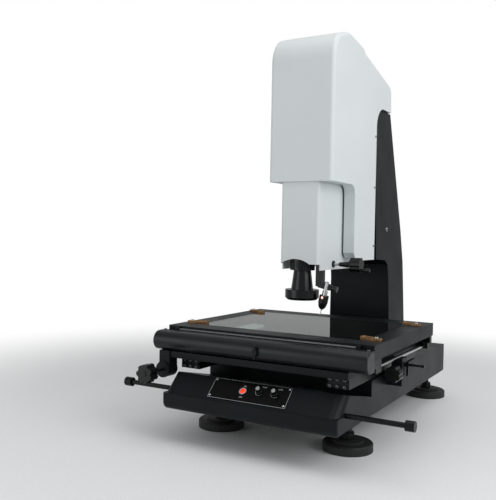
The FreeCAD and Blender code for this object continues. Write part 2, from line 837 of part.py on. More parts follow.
def build_carriage():
    plate = new_body("carriage_body")
    pad(plate, "carriage_plate", "XY_Plane", [
        ("-carriage_width / 2", "-carriage_front"),
        ("carriage_width / 2", "-carriage_front"),
        ("carriage_width / 2", "carriage_rear"),
        ("-carriage_width / 2", "carriage_rear"),
    ], "carriage_thickness")
    pocket(plate, "carriage_window", "XY_Plane", [
        ("-carriage_window_width / 2", "-carriage_window_front"),
        ("carriage_window_width / 2", "-carriage_window_front"),
        ("carriage_window_width / 2", "carriage_window_rear"),
        ("-carriage_window_width / 2", "carriage_window_rear"),
    ], "carriage_thickness * 2")
    place(plate, "0", "0", f"{CARRIAGE} + carriage_thickness / 2")
    node("y_carriage", plate)

    half = "cover_height / 2"
    nose = f"(-cover_front + {half})"
    cover = new_body("cover_body")
    pad(cover, "cover_bar", "YZ_Plane", [
        ("-cover_back", CARRIAGE_TOP),
        ("-cover_back", f"{CARRIAGE_TOP} + cover_height"),
        (nose, f"{CARRIAGE_TOP} + cover_height"),
        ("arc", "-cover_front", f"{CARRIAGE_TOP} + {half}"),
        (nose, CARRIAGE_TOP),
    ], "cover_width")
    rounded(cover, "cover_ends", "3", lambda edge: edge.BoundBox.XLength < SLACK
            and edge.BoundBox.YMin < value("-cover_back") - 1)
    lever_bore = rod("lever_bore", "Y", "cover_lever_pin + bore_clearance", "20", "cover_lever_x",
                     "-cover_front - 2", f"{CARRIAGE_TOP} + {half}")
    node("front_cover", cut("front_cover", cover, lever_bore))

    build_x_ways()
    build_y_rod()
    build_x_unit()
    build_carriage_screws()


def build_x_ways():
    """Fixed X bars on the carriage; the table's grooved bars run outside them."""
    middle = f"({CARRIAGE_TOP} + x_way_height / 2)"
    fixed_bars, table_bars = [], []
    for name, side in (("front", -1), ("rear", 1)):
        face = f"(table_middle + {side} * x_way_offset)"
        slide_face = f"({face} + {side} * way_gap)"
        bar = new_body("x_fixed_" + name)
        pad(bar, "x_fixed_bar_" + name, "YZ_Plane", [
            (f"{face} - {side} * x_fixed_width", CARRIAGE_TOP),
            (face, CARRIAGE_TOP),
            (face, f"{middle} - ridge_depth"),
            (f"{face} + {side} * ridge_depth", middle),
            (face, f"{middle} + ridge_depth"),
            (face, f"{TABLE} - way_relief"),
            (f"{face} - {side} * x_fixed_width", f"{TABLE} - way_relief"),
        ], "carriage_width")
        fixed_bars.append(bar)
        bar = new_body("x_slide_" + name)
        pad(bar, "x_slide_bar_" + name, "YZ_Plane", [
            (slide_face, f"{CARRIAGE_TOP} + way_relief"),
            (f"{slide_face} + {side} * x_slide_width", f"{CARRIAGE_TOP} + way_relief"),
            (f"{slide_face} + {side} * x_slide_width", TABLE),
            (slide_face, TABLE),
            (slide_face, f"{middle} + ridge_depth"),
            (f"{slide_face} + {side} * ridge_depth", middle),
            (slide_face, f"{middle} - ridge_depth"),
        ], "x_slide_length")
        table_bars.append(bar)
    node("x_fixed_ways", group("x_fixed_ways", *fixed_bars))
    node("x_slide_bars", group("x_slide_bars", *table_bars))


def build_y_rod():
    height = f"({TABLE} - y_rod_drop)"
    side = "(carriage_width / 2)"
    rear_bracket = "(carriage_rear - y_bracket_rear_depth)"
    front_bracket = box("front_bracket", side, "-y_bracket_front", CARRIAGE, "y_bracket_width",
                        "y_bracket_depth", f"{TABLE} - {CARRIAGE} - y_bracket_drop")
    slot = box("bracket_slot", f"{side} + 4", "-y_bracket_front - 1", f"{TABLE} - 22",
               "y_bracket_width - 14", "9", "5")
    rear = box("rear_bracket", side, rear_bracket, CARRIAGE, "y_bracket_width",
               "y_bracket_rear_depth", f"{TABLE} - {CARRIAGE} - y_bracket_drop")
    bore = rod("y_rod_bore", "Y", "y_rod_radius + bore_clearance",
               "y_bracket_front + carriage_rear + 20", "y_rod_x", "-y_bracket_front + 10", height)
    node("y_rod_brackets", group("y_rod_brackets", cut("y_bracket_front", front_bracket, slot, bore),
                                 cut("y_bracket_rear", rear, bore)))
    node("y_drive_rod", rod("y_drive_rod", "Y", "y_rod_radius", "y_bracket_front + carriage_rear - 10",
                            "y_rod_x", "-y_bracket_front + 10", height))

    # Drive unit on the base's right side: the rod runs in its open cradle, over the drive roller
    base_side = "(base_width / 2)"
    bottom = f"({TABLE_TOP} - y_unit_drop)"
    foot = box("unit_foot", base_side, "-y_unit_front", bottom, "y_unit_width", "y_unit_depth",
               f"{PLATFORM} - 1 - {bottom}")
    head = box("unit_head", f"{side} + y_unit_gap", "-y_unit_front", f"{PLATFORM} - 1",
               "y_unit_head_width", "y_unit_depth", f"{height} - {PLATFORM} + 1")
    boss = rod("unit_boss", "Y", "13", "5", "y_wheel_x", "-y_unit_front - 5",
               f"{TABLE_TOP} - y_wheel_drop")
    rod_hole = rod("unit_rod_hole", "Y", "y_rod_radius + running_gap", "y_unit_depth + 10", "y_rod_x",
                   "-y_unit_front - 6", height)
    wheel_hole = rod("unit_wheel_hole", "Y", "wheel_shaft_radius + bore_clearance", "30", "y_wheel_x",
                     "-y_unit_front - 6", f"{TABLE_TOP} - y_wheel_drop")
    lever_hole = rod("unit_lever_hole", "X", "lever_pin_radius + bore_clearance", "16",
                     f"{base_side} + y_unit_width - 15", "-y_unit_front + y_unit_depth - lever_inset",
                     f"{TABLE_TOP} - lever_drop")
    node("y_drive_unit", cut("y_drive_unit", fused("unit_blank", foot, head, boss), rod_hole, wheel_hole,
                             lever_hole))
    build_y_controls(base_side)


def scalloped(name, radius, length, lobes):
    """A hand knob with round scallops: a padded disc, one pocket and its polar pattern."""
    body = new_body(name)
    sketch = new_sketch(body, name + "_disc", "XY_Plane")
    sketch.addGeometry(Part.Circle(FreeCAD.Vector(), FreeCAD.Vector(0, 0, 1), value(radius)))
    sketch.addConstraint(Sketcher.Constraint("Coincident", 0, 3, -1, 1))
    number = sketch.addConstraint(Sketcher.Constraint("Radius", 0, value(radius)))
    sketch.setExpression(f"Constraints[{number}]", bound(radius))
    disc = body.newObject("PartDesign::Pad", name + "_pad")
    disc.Profile = sketch
    bind(disc, Length=length)
    body.Tip = disc
    document.recompute()
    notch_radius = f"({radius}) * 0.3"
    offset = f"({radius}) * 1.13"
    notch = new_sketch(body, name + "_notch", "XY_Plane")
    notch.addGeometry(Part.Circle(FreeCAD.Vector(value(offset), 0, 0), FreeCAD.Vector(0, 0, 1),
                                  value(notch_radius)))
    fix_point(notch, 0, 3, offset, "0")
    number = notch.addConstraint(Sketcher.Constraint("Radius", 0, value(notch_radius)))
    notch.setExpression(f"Constraints[{number}]", bound(notch_radius))
    scallop = body.newObject("PartDesign::Pocket", name + "_scallop")
    scallop.Profile = notch
    scallop.SideType = "Symmetric"
    bind(scallop, Length=f"({length}) * 2.2")
    body.Tip = scallop
    document.recompute()
    pattern = body.newObject("PartDesign::PolarPattern", name + "_scallops")
    pattern.Originals = [scallop]
    pattern.Axis = (notch, ["N_Axis"])
    pattern.Angle = 360
    bind(pattern, Occurrences=lobes)
    body.Tip = pattern
    document.recompute()
    if pattern.Shape.Volume >= scallop.Shape.Volume:
        raise RuntimeError(name + " has no lobes")
    return body


def aimed(thing, axis, x, y, z):
    direction, angle = AXES[axis]
    thing.Placement = FreeCAD.Placement(FreeCAD.Vector(), FreeCAD.Rotation(direction, angle))
    return place(thing, x, y, z)


def build_y_controls(base_side):
    x, z = "y_wheel_x", f"{TABLE_TOP} - y_wheel_drop"
    front = "(-y_unit_front - y_wheel_distance - y_wheel_length)"
    knob = aimed(scalloped("y_wheel_knob", "y_wheel_radius", "y_wheel_length", "wheel_lobes"), "Y",
                 x, front, z)
    shaft = rod("y_wheel_shaft", "Y", "wheel_shaft_radius", "y_wheel_distance + 22 + 4", x,
                "-y_unit_front - y_wheel_distance - 4", z)
    cap = rod("y_wheel_cap", "Y", "7", "2", x, f"{front} - 2", z)
    node("y_handwheel", fused("y_handwheel", knob, shaft, cap))
    lever_y, lever_z = "-y_unit_front + y_unit_depth - lever_inset", f"{TABLE_TOP} - lever_drop"
    outer = f"({base_side} + y_unit_width)"
    pin = rod("lever_pin", "X", "lever_pin_radius", "23", f"{outer} - 14", lever_y, lever_z)
    hub = rod("lever_hub", "X", "lever_hub_radius", "9", f"{outer} + 1", lever_y, lever_z)
    stem = cone("lever_stem", "X", "lever_pin_radius + 1", "lever_pin_radius", "lever_reach",
                f"{outer} + 9", lever_y, lever_z)
    tab = box("lever_tab", f"{outer} + 3", f"{lever_y} - 4", f"{lever_z} - lever_tab_length - 2",
              "6", "8", "lever_tab_length")
    tip = rod("lever_tip", "X", "lever_pin_radius + 1.5", "8", f"{outer} + lever_reach + 6", lever_y, lever_z)
    node("y_release_lever", fused("y_release_lever", pin, hub, stem, tip, tab))


def build_x_unit():
    """X drive unit: it hangs from the carriage's left end, with its handwheel to the front."""
    x, z = "-x_unit_x", f"{TABLE_TOP} - x_unit_drop"
    hub = rod("x_unit_hub", "Y", "x_unit_radius", "x_unit_depth", x, "-x_unit_front", z)
    hanger = box("x_unit_hanger", "-x_unit_x - 14", "-x_unit_front + 4", z,
                 "x_unit_x + 14 - carriage_width / 2", "x_unit_depth - 4", f"{CARRIAGE_TOP} - ({z})")
    hole = rod("x_unit_hole", "Y", "wheel_shaft_radius + bore_clearance", "32", x,
               "-x_unit_front - 1", z)
    node("x_drive_unit", cut("x_drive_unit", fused("x_unit_blank", hub, hanger), hole))
    front = "(-x_unit_front - x_wheel_distance - wheel_length)"
    knob = aimed(scalloped("x_wheel_knob", "wheel_radius", "wheel_length", "wheel_lobes"), "Y", x, front, z)
    shaft = rod("x_wheel_shaft", "Y", "wheel_shaft_radius", "x_wheel_distance + 30 + 4", x,
                "-x_unit_front - x_wheel_distance - 4", z)
    collar = rod("x_wheel_collar", "Y", "9", "12", x, "-x_unit_front - x_wheel_distance", z)
    cap = rod("x_wheel_cap", "Y", "8", "2", x, f"{front} - 2", z)
    node("x_handwheel", fused("x_handwheel", knob, shaft, collar, cap))


def build_carriage_screws():
    """Screws of the slide bars' end faces, of the rod brackets and of the front cover."""
    screws = []
    centre = "(y_way_offset + way_gap + y_slide_width / 2)"
    for side in (-1, 1):
        for row in (-1, 1):
            for column in (-1, 0, 1):
                screws.append(rod(f"bar_screw_{len(screws)}", "Y", "bar_screw_radius", "bar_screw_height",
                                  f"{side} * {centre} + {column} * bar_screw_pitch",
                                  "-cover_back - bar_screw_height",
                                  f"{PLATFORM} + y_way_height / 2 + {row} * bar_screw_rise"))
    for y in ("-y_bracket_front + small_screw_inset", "-y_bracket_front + y_bracket_depth - small_screw_inset",
              "carriage_rear - y_bracket_rear_depth / 2"):
        screws.append(rod(f"bracket_screw_{len(screws)}", "Z", "small_screw_radius", "small_screw_height",
                          "carriage_width / 2 + y_bracket_width - 7", y, f"{TABLE} - y_bracket_drop"))
    for side in (-1, 1):
        screws.append(rod(f"cover_screw_{len(screws)}", "Z", "small_screw_radius", "small_screw_height",
                          f"{side} * (cover_width / 2 - 12)", "-cover_back - small_screw_inset",
                          f"{CARRIAGE_TOP} + cover_height"))
    node("carriage_screws", group("carriage_screws", *screws))
    z = f"{CARRIAGE_TOP} + cover_height / 2"
    front = "-cover_front - lever_lift"
    pin = rod("cover_lever_pin", "Y", "cover_lever_pin", "19", "cover_lever_x", "-cover_front - 3", z)
    hub = rod("cover_lever_hub", "Y", "lever_hub_radius", "7", "cover_lever_x", front, z)
    blade = box("cover_lever_blade", "cover_lever_x - cover_lever_width / 2", front,
                f"{z} - cover_lever_length / 2", "cover_lever_width", "6", "cover_lever_length")
    node("x_lock_lever", fused("x_lock_lever", pin, hub, blade))


# Table: frame with a rebate for the glass, corner clips and the front guide rod

def build_table():
    x, y = "table_width / 2", "table_depth / 2"
    frame = new_body("table_body")
    pad(frame, "table_slab", "XY_Plane", [
        (f"-{x}", f"-{y}"), (x, f"-{y}"), (x, y), (f"-{x}", y)], "table_thickness")
    rounded(frame, "table_corners", "table_corner", lambda edge: runs_along(edge, "Z"))
    opening_x = "(glass_width / 2 - glass_ledge)"
    opening_y = "(glass_depth / 2 - glass_ledge)"
    pocket(frame, "table_window", "XY_Plane", [
        (f"-{opening_x}", f"-{opening_y}"), (opening_x, f"-{opening_y}"),
        (opening_x, opening_y), (f"-{opening_x}", opening_y)], "table_thickness * 2")
    place(frame, "0", "table_middle", f"{TABLE} + table_thickness / 2")
    rebate = box("glass_rebate", "-glass_width / 2 - bore_clearance",
                 "table_middle - glass_depth / 2 - bore_clearance",
                 f"{TABLE_TOP} - glass_thickness - glass_setback", "glass_width + 2 * bore_clearance",
                 "glass_depth + 2 * bore_clearance", "glass_thickness + 1")
    holes, clips, screws = [rebate], [], []
    for side in (-1, 1):
        for row in (-1, 1):
            number = len(clips)
            screw_x = f"{side} * (clip_x + clip_screw_out)"
            screw_y = f"(table_middle + {row} * clip_y)"
            straight = "(clip_length - clip_width)"
            bar = box(f"clip_bar_{number}", f"{side} * clip_x - {straight} / 2", f"{screw_y} - clip_width / 2",
                      TABLE_TOP, straight, "clip_width", "clip_thickness")
            ends = [rod(f"clip_end_{number}_{end}", "Z", "clip_width / 2", "clip_thickness",
                        f"{side} * clip_x + {2 * end - 1} * {straight} / 2", screw_y, TABLE_TOP)
                    for end in (0, 1)]
            clip = fused(f"clip_{number}", bar, *ends)
            thread_foot = f"{TABLE_TOP} - clip_screw_depth"
            hole = rod(f"clip_hole_{number}", "Z", "clip_screw_radius + bore_clearance",
                       "clip_thickness + clip_screw_depth + 2", screw_x, screw_y, thread_foot)
            shank = rod(f"clip_shank_{number}", "Z", "clip_screw_radius",
                        "clip_thickness + clip_screw_depth", screw_x, screw_y, thread_foot)
            head = rod(f"clip_head_{number}", "Z", "2 * clip_screw_radius", "clip_screw_head_height",
                       screw_x, screw_y, f"{TABLE_TOP} + clip_thickness")
            holes.append(hole)
            clips.append(cut(f"glass_clip_{number}", clip, hole))
            screws.append(fused(f"clip_screw_{number}", shank, head))
    node("table_frame", cut("table_frame", frame, *holes))
    node("glass_plate", box("glass_plate", "-glass_width / 2", "table_middle - glass_depth / 2",
                            f"{TABLE_TOP} - glass_thickness - glass_setback", "glass_width",
                            "glass_depth", "glass_thickness"))
    node("glass_clips", group("glass_clips", *clips))
    node("clip_screws", group("clip_screws", *screws))

    front = "(table_middle - table_depth / 2)"
    rod_y, rod_z = f"({front} - x_rod_standoff)", f"({TABLE_TOP} - x_rod_drop)"
    node("x_guide_rod", rod("x_guide_rod", "X", "x_rod_radius", "2 * x_rod_half_length",
                            "-x_rod_half_length", rod_y, rod_z))
    ends = []
    for name, side in (("left", -1), ("right", 1)):
        block = box("rod_end_" + name, f"{side} * x_rod_half_length - 6", f"{front} - 11",
                    f"{rod_z} - 8", "12", "11", "14")
        bore = rod("rod_end_bore_" + name, "X", "x_rod_radius + bore_clearance", "14",
                   "-x_rod_half_length" if side < 0 else "x_rod_half_length - 14", rod_y, rod_z)
        ends.append(cut("rod_bracket_" + name, block, bore))
    node("x_rod_brackets", group("x_rod_brackets", *ends))


# Column: a side outline, tapered towards the top by two side cuts

def build_column():
    body = new_body("column_body")
    pad(body, "column_side", "YZ_Plane", [
        ("column_foot_front", PLATFORM),
        ("column_foot_rear", PLATFORM),
        ("column_foot_rear - column_knee_set", "column_knee_height"),
        ("column_foot_rear - column_waist_set", "column_waist_height"),
        ("column_top_rear", "column_top"),
        ("column_top_front", "column_top"),
        ("column_top_front", "frame_bottom - knee_lip"),
        ("column_foot_front - knee_top", "frame_bottom - knee_top_drop"),
        ("column_foot_front - knee_bend", "frame_bottom - knee_bend_drop"),
        ("column_foot_front - knee_side", "frame_bottom - knee_side_drop"),
    ], "2 * column_foot_half")
    for side in (-1, 1):
        outside = f"{side} * (column_foot_half + column_wall)"
        above = "column_top + column_wall"
        pocket(body, "taper_left" if side < 0 else "taper_right", "XZ_Plane", [
            (f"{side} * column_foot_half", PLATFORM),
            (f"{side} * column_top_half", "column_top"),
            (f"{side} * column_top_half", above),
            (outside, above),
            (outside, PLATFORM),
        ], "4 * column_foot_rear")
    pocket(body, "column_core", "YZ_Plane", [
        ("column_foot_front + column_wall", PLATFORM),
        ("column_foot_rear - column_wall", PLATFORM),
        ("column_foot_rear - column_waist_set - column_wall", "column_waist_height - column_wall / 2"),
        ("column_top_rear - column_wall", "column_top - column_wall"),
        ("column_top_front + column_wall", "column_top - column_wall"),
        ("column_top_front + column_wall", "frame_bottom + column_wall"),
        ("column_foot_front - column_wall", "frame_bottom + column_wall"),
        ("column_foot_front + column_wall - knee_side", "frame_bottom - column_wall"),
    ], "2 * (column_top_half - column_core_side)")
    rounded(body, "column_edges", "column_round", lambda edge: edge.BoundBox.YMin > value("column_top_rear - 1")
            and abs(edge.BoundBox.XMax + edge.BoundBox.XMin) > value("column_top_half")
            and edge.BoundBox.ZLength > value("column_wall"))
    face = column_half("bolt_z")
    hole = rod("head_bolt_hole", "X", "bolt_radius + bore_clearance", "bolt_sink + bolt_height",
               f"{face} - bolt_sink", "bolt_y", "bolt_z")
    bolt = rod("head_bolt", "X", "bolt_radius", "bolt_sink + bolt_height", f"{face} - bolt_sink",
               "bolt_y", "bolt_z")
    node("column", cut("column", body, both_sides("head_bolt_holes", hole)))
    node("head_bolts", both_sides("head_bolts", bolt))

    # Head frame on the column's front, with side flanges that carry the white shell
    core = box("frame_core", "-frame_half_width", "frame_front", "frame_bottom", "2 * frame_half_width",
               f"{FRAME_BACK} - frame_front", "frame_top - frame_bottom")
    flange_half = "(shell_half_width - shell_wall)"
    flange = box("frame_flange", f"-{flange_half}", "shell_back - flange_front", "frame_bottom + flange_rise",
                 f"2 * {flange_half}", "flange_depth", "flange_height")
    node("head_frame", fused("head_frame", core, flange))
    rails = box("z_way", "z_way_x - z_way_width / 2", "frame_front - z_way_depth", "frame_bottom + 5",
                "z_way_width", "z_way_depth", "frame_top - frame_bottom - 5")
    node("z_ways", both_sides("z_ways", rails))


def column_half(height):
    """Half the column's width at a height."""
    share = f"(({height}) - {PLATFORM}) / (column_top - {PLATFORM})"
    return f"(column_foot_half - (column_foot_half - column_top_half) * {share})"


# White outer shell: rolled brow, sloping roof, and a rounded notch at the back for the column

def shell_roof(inset):
    """The outline over the top, from the front's foot to the back wall, moved inwards."""
    bend = "(1 - sqrt(0.5))"
    return [
        (f"-shell_front + {inset}", "shell_front_top"),
        ("arc", f"-shell_front + {bend} * shell_roll + 0.87 * {inset}",
         f"shell_roll_end - {bend} * shell_roll_rise * 1.35 - 0.49 * {inset}"),
        (f"-shell_front + shell_roll + 0.5 * {inset}", f"shell_roll_end - 0.87 * {inset}"),
        ("-shell_front + shell_peak_run", f"shell_peak - {inset}"),
        ("-shell_step_front", f"shell_peak - shell_step_drop - {inset}"),
        ("-shell_step_front + shell_step_run", f"shell_peak - shell_step_drop - shell_step_rise - {inset}"),
        (f"shell_rear - shell_tail - 0.3 * {inset}", f"shell_notch + shell_tail_rise - {inset}"),
        (f"shell_rear - shell_tail / 4 - {inset}",
         f"shell_notch + shell_tail_rise - 0.8 * shell_tail - 0.3 * {inset}"),
    ]


def shell_cheek(inset):
    """The outline's lower edge, from the column up to the brow, moved inwards."""
    front = f"-shell_cheek_front + {inset}"
    bottom = f"shell_bottom + {inset}"
    bend = "(cheek_round * (1 - sqrt(0.5)))"
    return [
        (f"{front} + cheek_foot", bottom),
        (f"{front} + cheek_toe", f"{bottom} + cheek_rise"),
        (front, "shell_bottom + 2 * cheek_toe"),
        (front, "shell_brow - cheek_round"),
        ("arc", f"-shell_cheek_front - {bend} + {inset}", f"shell_brow - {bend}"),
        ("-shell_cheek_front - cheek_round", f"shell_brow + {inset}"),
    ]


def build_shell():
    outer = new_body("shell_outer")
    notch_middle = "(shell_notch_round * (1 - sqrt(0.5)))"
    pad(outer, "shell_blank", "YZ_Plane", [("-shell_front", "shell_brow")] + shell_roof("0") + [
        ("shell_rear", "shell_notch"),
        ("shell_back + shell_notch_round", "shell_notch"),
        ("arc", f"shell_back + {notch_middle}", f"shell_notch - {notch_middle}"),
        ("shell_back", "shell_notch - shell_notch_round"),
        ("shell_back", "shell_bottom"),
    ] + shell_cheek("0"), "2 * shell_half_width")
    rounded(outer, "shell_edges", "shell_round", on_shell_front("shell_front_top"))
    cavity = new_body("shell_cavity")
    pad(cavity, "cavity_blank", "YZ_Plane", [("-shell_front + shell_wall", "shell_brow + shell_wall")]
        + shell_roof("shell_wall") + [
            ("shell_rear - shell_wall", "shell_notch - cheek_toe"),
            ("shell_back + cheek_foot", "shell_notch - shell_notch_round - cheek_toe"),
            ("shell_back + cheek_foot", "shell_bottom - cheek_toe"),
            ("-shell_cheek_front + cheek_foot", "shell_bottom - cheek_toe"),
        ] + shell_cheek("shell_wall"), "2 * (shell_half_width - shell_wall)")
    rounded(cavity, "cavity_edges", "shell_round - shell_wall", on_shell_front("shell_front_top"))
    slot = box("cover_slot", "-inner_half_width - cover_gap", "-shell_front + shell_wall",
               "shell_bottom - 1", "2 * (inner_half_width + cover_gap)",
               "shell_front - shell_wall - inner_back + cover_gap",
               "shell_brow + shell_wall - shell_bottom + 2")
    node("head_shell", cut("head_shell", outer, cavity, slot))
    screws = []
    for number, share in enumerate((0.09, 0.47, 0.8)):
        screws.append(rod(f"shell_screw_{number}", "X", "shell_screw_radius", "shell_screw_head",
                          "shell_half_width", "shell_back - shell_screw_inset",
                          f"shell_bottom + {share} * (shell_notch - shell_bottom)"))
    node("shell_screws", both_sides("shell_screws", group("shell_screws_right", *screws)))


def on_shell_front(top):
    """A test for the upright, rolled and sloping edges between the shell's front and its sides."""
    def wanted(edge):
        size = edge.BoundBox
        return (size.XLength < SLACK and size.ZMax > value(top) - 1 and size.ZLength > 10
                and size.YMax < value("-shell_front + shell_peak_run") + SLACK)
    return wanted


# Moving head: slide plate on four runners, bracket, lens, camera, lamp ring and inner cover

def build_head():
    inside = "(inner_half_width - shell_wall)"
    node("z_slide_plate", box("z_slide_plate", f"-{inside}", "-slide_front", "slide_bottom",
                              f"2 * {inside}", "slide_thickness", "slide_top - slide_bottom"))
    runners = []
    way_face = "(frame_front - z_way_depth)"
    back = "(slide_front - slide_thickness)"
    for level in ("slide_bottom + z_runner_low", "slide_bottom + z_runner_high"):
        number = len(runners)
        block = box(f"runner_block_{number}", "z_way_x - z_way_width / 2 - z_runner_side", f"-{back}", level,
                    "z_way_width + 2 * z_runner_side", f"{back} + frame_front - 6", "z_runner_height")
        channel = box(f"runner_channel_{number}", "z_way_x - z_way_width / 2 - running_gap",
                      f"{way_face} - running_gap", f"{level} - 1", "z_way_width + 2 * running_gap",
                      "40", "z_runner_height + 2")
        runners.append(cut(f"runner_{number}", block, channel))
    node("z_runners", both_sides("z_runners", group("z_runners_right", *runners)))

    bracket_front = "(lens_y - lens_barrel_radius - bracket_lip)"
    arm = box("bracket_arm", "lens_x - lens_barrel_radius - bracket_left", bracket_front, "bracket_bottom",
              "2 * lens_barrel_radius + bracket_left + bracket_right", f"-slide_front - {bracket_front}",
              "bracket_thickness")
    bore = rod("bracket_bore", "Z", "lens_barrel_radius + bore_clearance", "bracket_thickness + 2",
               "lens_x", "lens_y", "bracket_bottom - 1")
    node("lens_bracket", cut("lens_bracket", arm, bore))

    core = rod("lens_core", "Z", "lens_core_radius", "lens_top - lens_bottom", "lens_x", "lens_y",
               "lens_bottom")
    ring_top = "(ring_bottom + ring_height)"
    collar = rod("lens_collar", "Z", "lens_core_radius + lens_collar_wall", f"{ring_top} - lens_bottom", "lens_x",
                 "lens_y", "lens_bottom")
    taper = cone("lens_taper", "Z", "lens_cone_radius", "lens_barrel_radius",
                 f"zoom_bottom - running_gap - {ring_top}", "lens_x", "lens_y", ring_top)
    barrel = rod("lens_barrel", "Z", "lens_barrel_radius",
                 "lens_top - zoom_bottom - zoom_height - 2 * running_gap", "lens_x", "lens_y",
                 "zoom_bottom + zoom_height + 2 * running_gap")
    hollow = rod("lens_hollow", "Z", "lens_core_radius - lens_rim", "12", "lens_x", "lens_y", "lens_bottom")
    node("zoom_lens", cut("zoom_lens", fused("lens_blank", core, collar, taper, barrel), hollow))
    node("front_element", rod("front_element", "Z", "lens_core_radius - lens_rim - bore_clearance", "6", "lens_x", "lens_y",
                              "lens_bottom + 6"))

    ring = rod("zoom_blank", "Z", "zoom_radius", "zoom_height", "lens_x", "lens_y", "zoom_bottom")
    bore = rod("zoom_bore", "Z", "lens_core_radius + bore_clearance", "zoom_height + 2", "lens_x",
               "lens_y", "zoom_bottom - 1")
    flutes = []
    for number in range(int(SIZES["zoom_ribs"])):
        turn_angle = f"({number} * 360 / zoom_ribs * 1deg)"
        flutes.append(rod(f"zoom_flute_{number}", "Z", "zoom_flute_radius", "zoom_height - 12",
                          f"lens_x + (zoom_radius + 0.4) * cos{turn_angle}",
                          f"lens_y + (zoom_radius + 0.4) * sin{turn_angle}", "zoom_bottom + 6"))
    node("zoom_ring", cut("zoom_ring", ring, bore, *flutes))

    straight = "(ring_height - ring_round)"
    upper = rod("ring_upper", "Z", "ring_radius", straight, "lens_x", "lens_y", "ring_bottom + ring_round")
    lower = cone("ring_lower", "Z", "ring_radius - ring_round", "ring_radius", "ring_round", "lens_x",
                 "lens_y", "ring_bottom")
    neck = rod("ring_neck_bore", "Z", "lens_core_radius + lens_collar_wall + bore_clearance", "ring_height + 2", "lens_x",
               "lens_y", "ring_bottom - 1")
    mouth = rod("ring_mouth", "Z", "ring_radius - ring_round - ring_lip", "8", "lens_x", "lens_y",
                "ring_bottom - 1")
    node("ring_light", cut("ring_light", fused("ring_blank", upper, lower), neck, mouth))
    disc = rod("diffuser_disc", "Z", "ring_radius - ring_round - ring_lip - bore_clearance", "4", "lens_x", "lens_y",
               "ring_bottom + 1")
    hole = rod("diffuser_hole", "Z", "ring_bore", "6", "lens_x", "lens_y", "ring_bottom")
    node("ring_diffuser", cut("ring_diffuser", disc, hole))

    node("camera", box("camera", "lens_x - camera_width / 2", "lens_y - camera_width / 2 + 4", "lens_top",
                       "camera_width", "camera_width", "camera_height"))
    build_inner_cover()
    build_z_wheel()
    build_probe()


def build_inner_cover():
    blank = new_body("inner_blank")
    corner = [("-inner_half_width", "-inner_front"), ("inner_half_width", "-inner_front"),
              ("inner_half_width", "-inner_back"), ("-inner_half_width", "-inner_back")]
    pad(blank, "inner_block", "XY_Plane", corner, "inner_top - inner_bottom")
    rounded(blank, "inner_edges", "inner_round", lambda edge: runs_along(edge, "Z")
            and near(edge.BoundBox.YMin, "-inner_front"))
    place(blank, "0", "0", "(inner_top + inner_bottom) / 2")
    hollow = new_body("inner_hollow")
    inside = "(inner_half_width - shell_wall)"
    corner = [(f"-{inside}", "-inner_front + shell_wall"), (inside, "-inner_front + shell_wall"),
              (inside, "-inner_back + 5"), (f"-{inside}", "-inner_back + 5")]
    pad(hollow, "hollow_block", "XY_Plane", corner, "inner_top - inner_bottom")
    rounded(hollow, "hollow_edges", "inner_round - shell_wall", lambda edge: runs_along(edge, "Z")
            and near(edge.BoundBox.YMin, "-inner_front + shell_wall"))
    place(hollow, "0", "0", "(inner_top + inner_bottom) / 2 - shell_wall")
    brow = box("brow_cut", "-inner_half_width - 1", "-inner_front - 1", "inner_bottom - 1",
               "2 * inner_half_width + 2", "inner_brow_depth", "inner_brow - inner_bottom + 1")
    arch = rod("arch_cut", "Y", "arch_radius", "shell_wall + 4", "lens_x - 3", "-inner_front - 2",
               "inner_brow + arch_rise - arch_radius")
    shaft_hole = rod("cover_shaft_hole", "X", "wheel_shaft_radius + 4.05", "20", "inner_half_width - 10",
                     "z_wheel_y", "z_wheel_height")
    node("inner_cover", cut("inner_cover", blank, hollow, brow, arch, shaft_hole))


def build_z_wheel():
    """Z handwheel on the moving head: its roller unit sits inside the cover."""
    y, z = "z_wheel_y", "z_wheel_height"
    inside = "(inner_half_width - shell_wall)"
    block = box("z_unit_block", f"{inside} - z_unit_width", f"{y} - z_unit_depth / 2", f"{z} - z_unit_drop",
                "z_unit_width", "z_unit_depth", f"bracket_bottom - {z} + z_unit_drop")
    flange = rod("z_unit_flange", "X", "10", "3", "inner_half_width", y, z)
    boss = rod("z_unit_boss", "X", "wheel_shaft_radius + 4", "shell_wall + 2", f"{inside} - 1", y, z)
    bore = rod("z_unit_bore", "X", "wheel_shaft_radius + bore_clearance", "60",
               f"{inside} - z_shaft_seat - 1", y, z)
    node("z_drive_unit", cut("z_drive_unit", fused("z_unit_blank", block, boss, flange), bore))
    shaft = rod("z_wheel_shaft", "X", "wheel_shaft_radius", f"z_wheel_reach + 4 - {inside} + z_shaft_seat",
                f"{inside} - z_shaft_seat", y, z)
    grip = cone("z_wheel_taper", "X", "6", "9", "29", "z_wheel_reach - 37", y, z)
    knob = aimed(scalloped("z_wheel_knob", "z_wheel_radius", "z_wheel_length", "5"), "X",
                 "z_wheel_reach", y, z)
    pin_hole = rod("grip_pin_hole", "X", "grip_pin_radius + bore_clearance", "16", "z_wheel_reach + z_wheel_length - 15",
                   y, f"{z} - grip_throw")
    node("z_handwheel", cut("z_handwheel", fused("z_wheel_blank", shaft, grip, knob), pin_hole))
    face = "(z_wheel_reach + z_wheel_length)"
    pin = rod("grip_pin", "X", "grip_pin_radius", "16 + running_gap", f"{face} - 14", y, f"{z} - grip_throw")
    handle = cone("grip_handle", "X", "4", "5.5", "25", f"{face} + running_gap", y, f"{z} - grip_throw")
    node("crank_grip", fused("crank_grip", pin, handle))


# Probe: an arm with a clamp, a silver shank, the black probe body, its lamp and the stylus

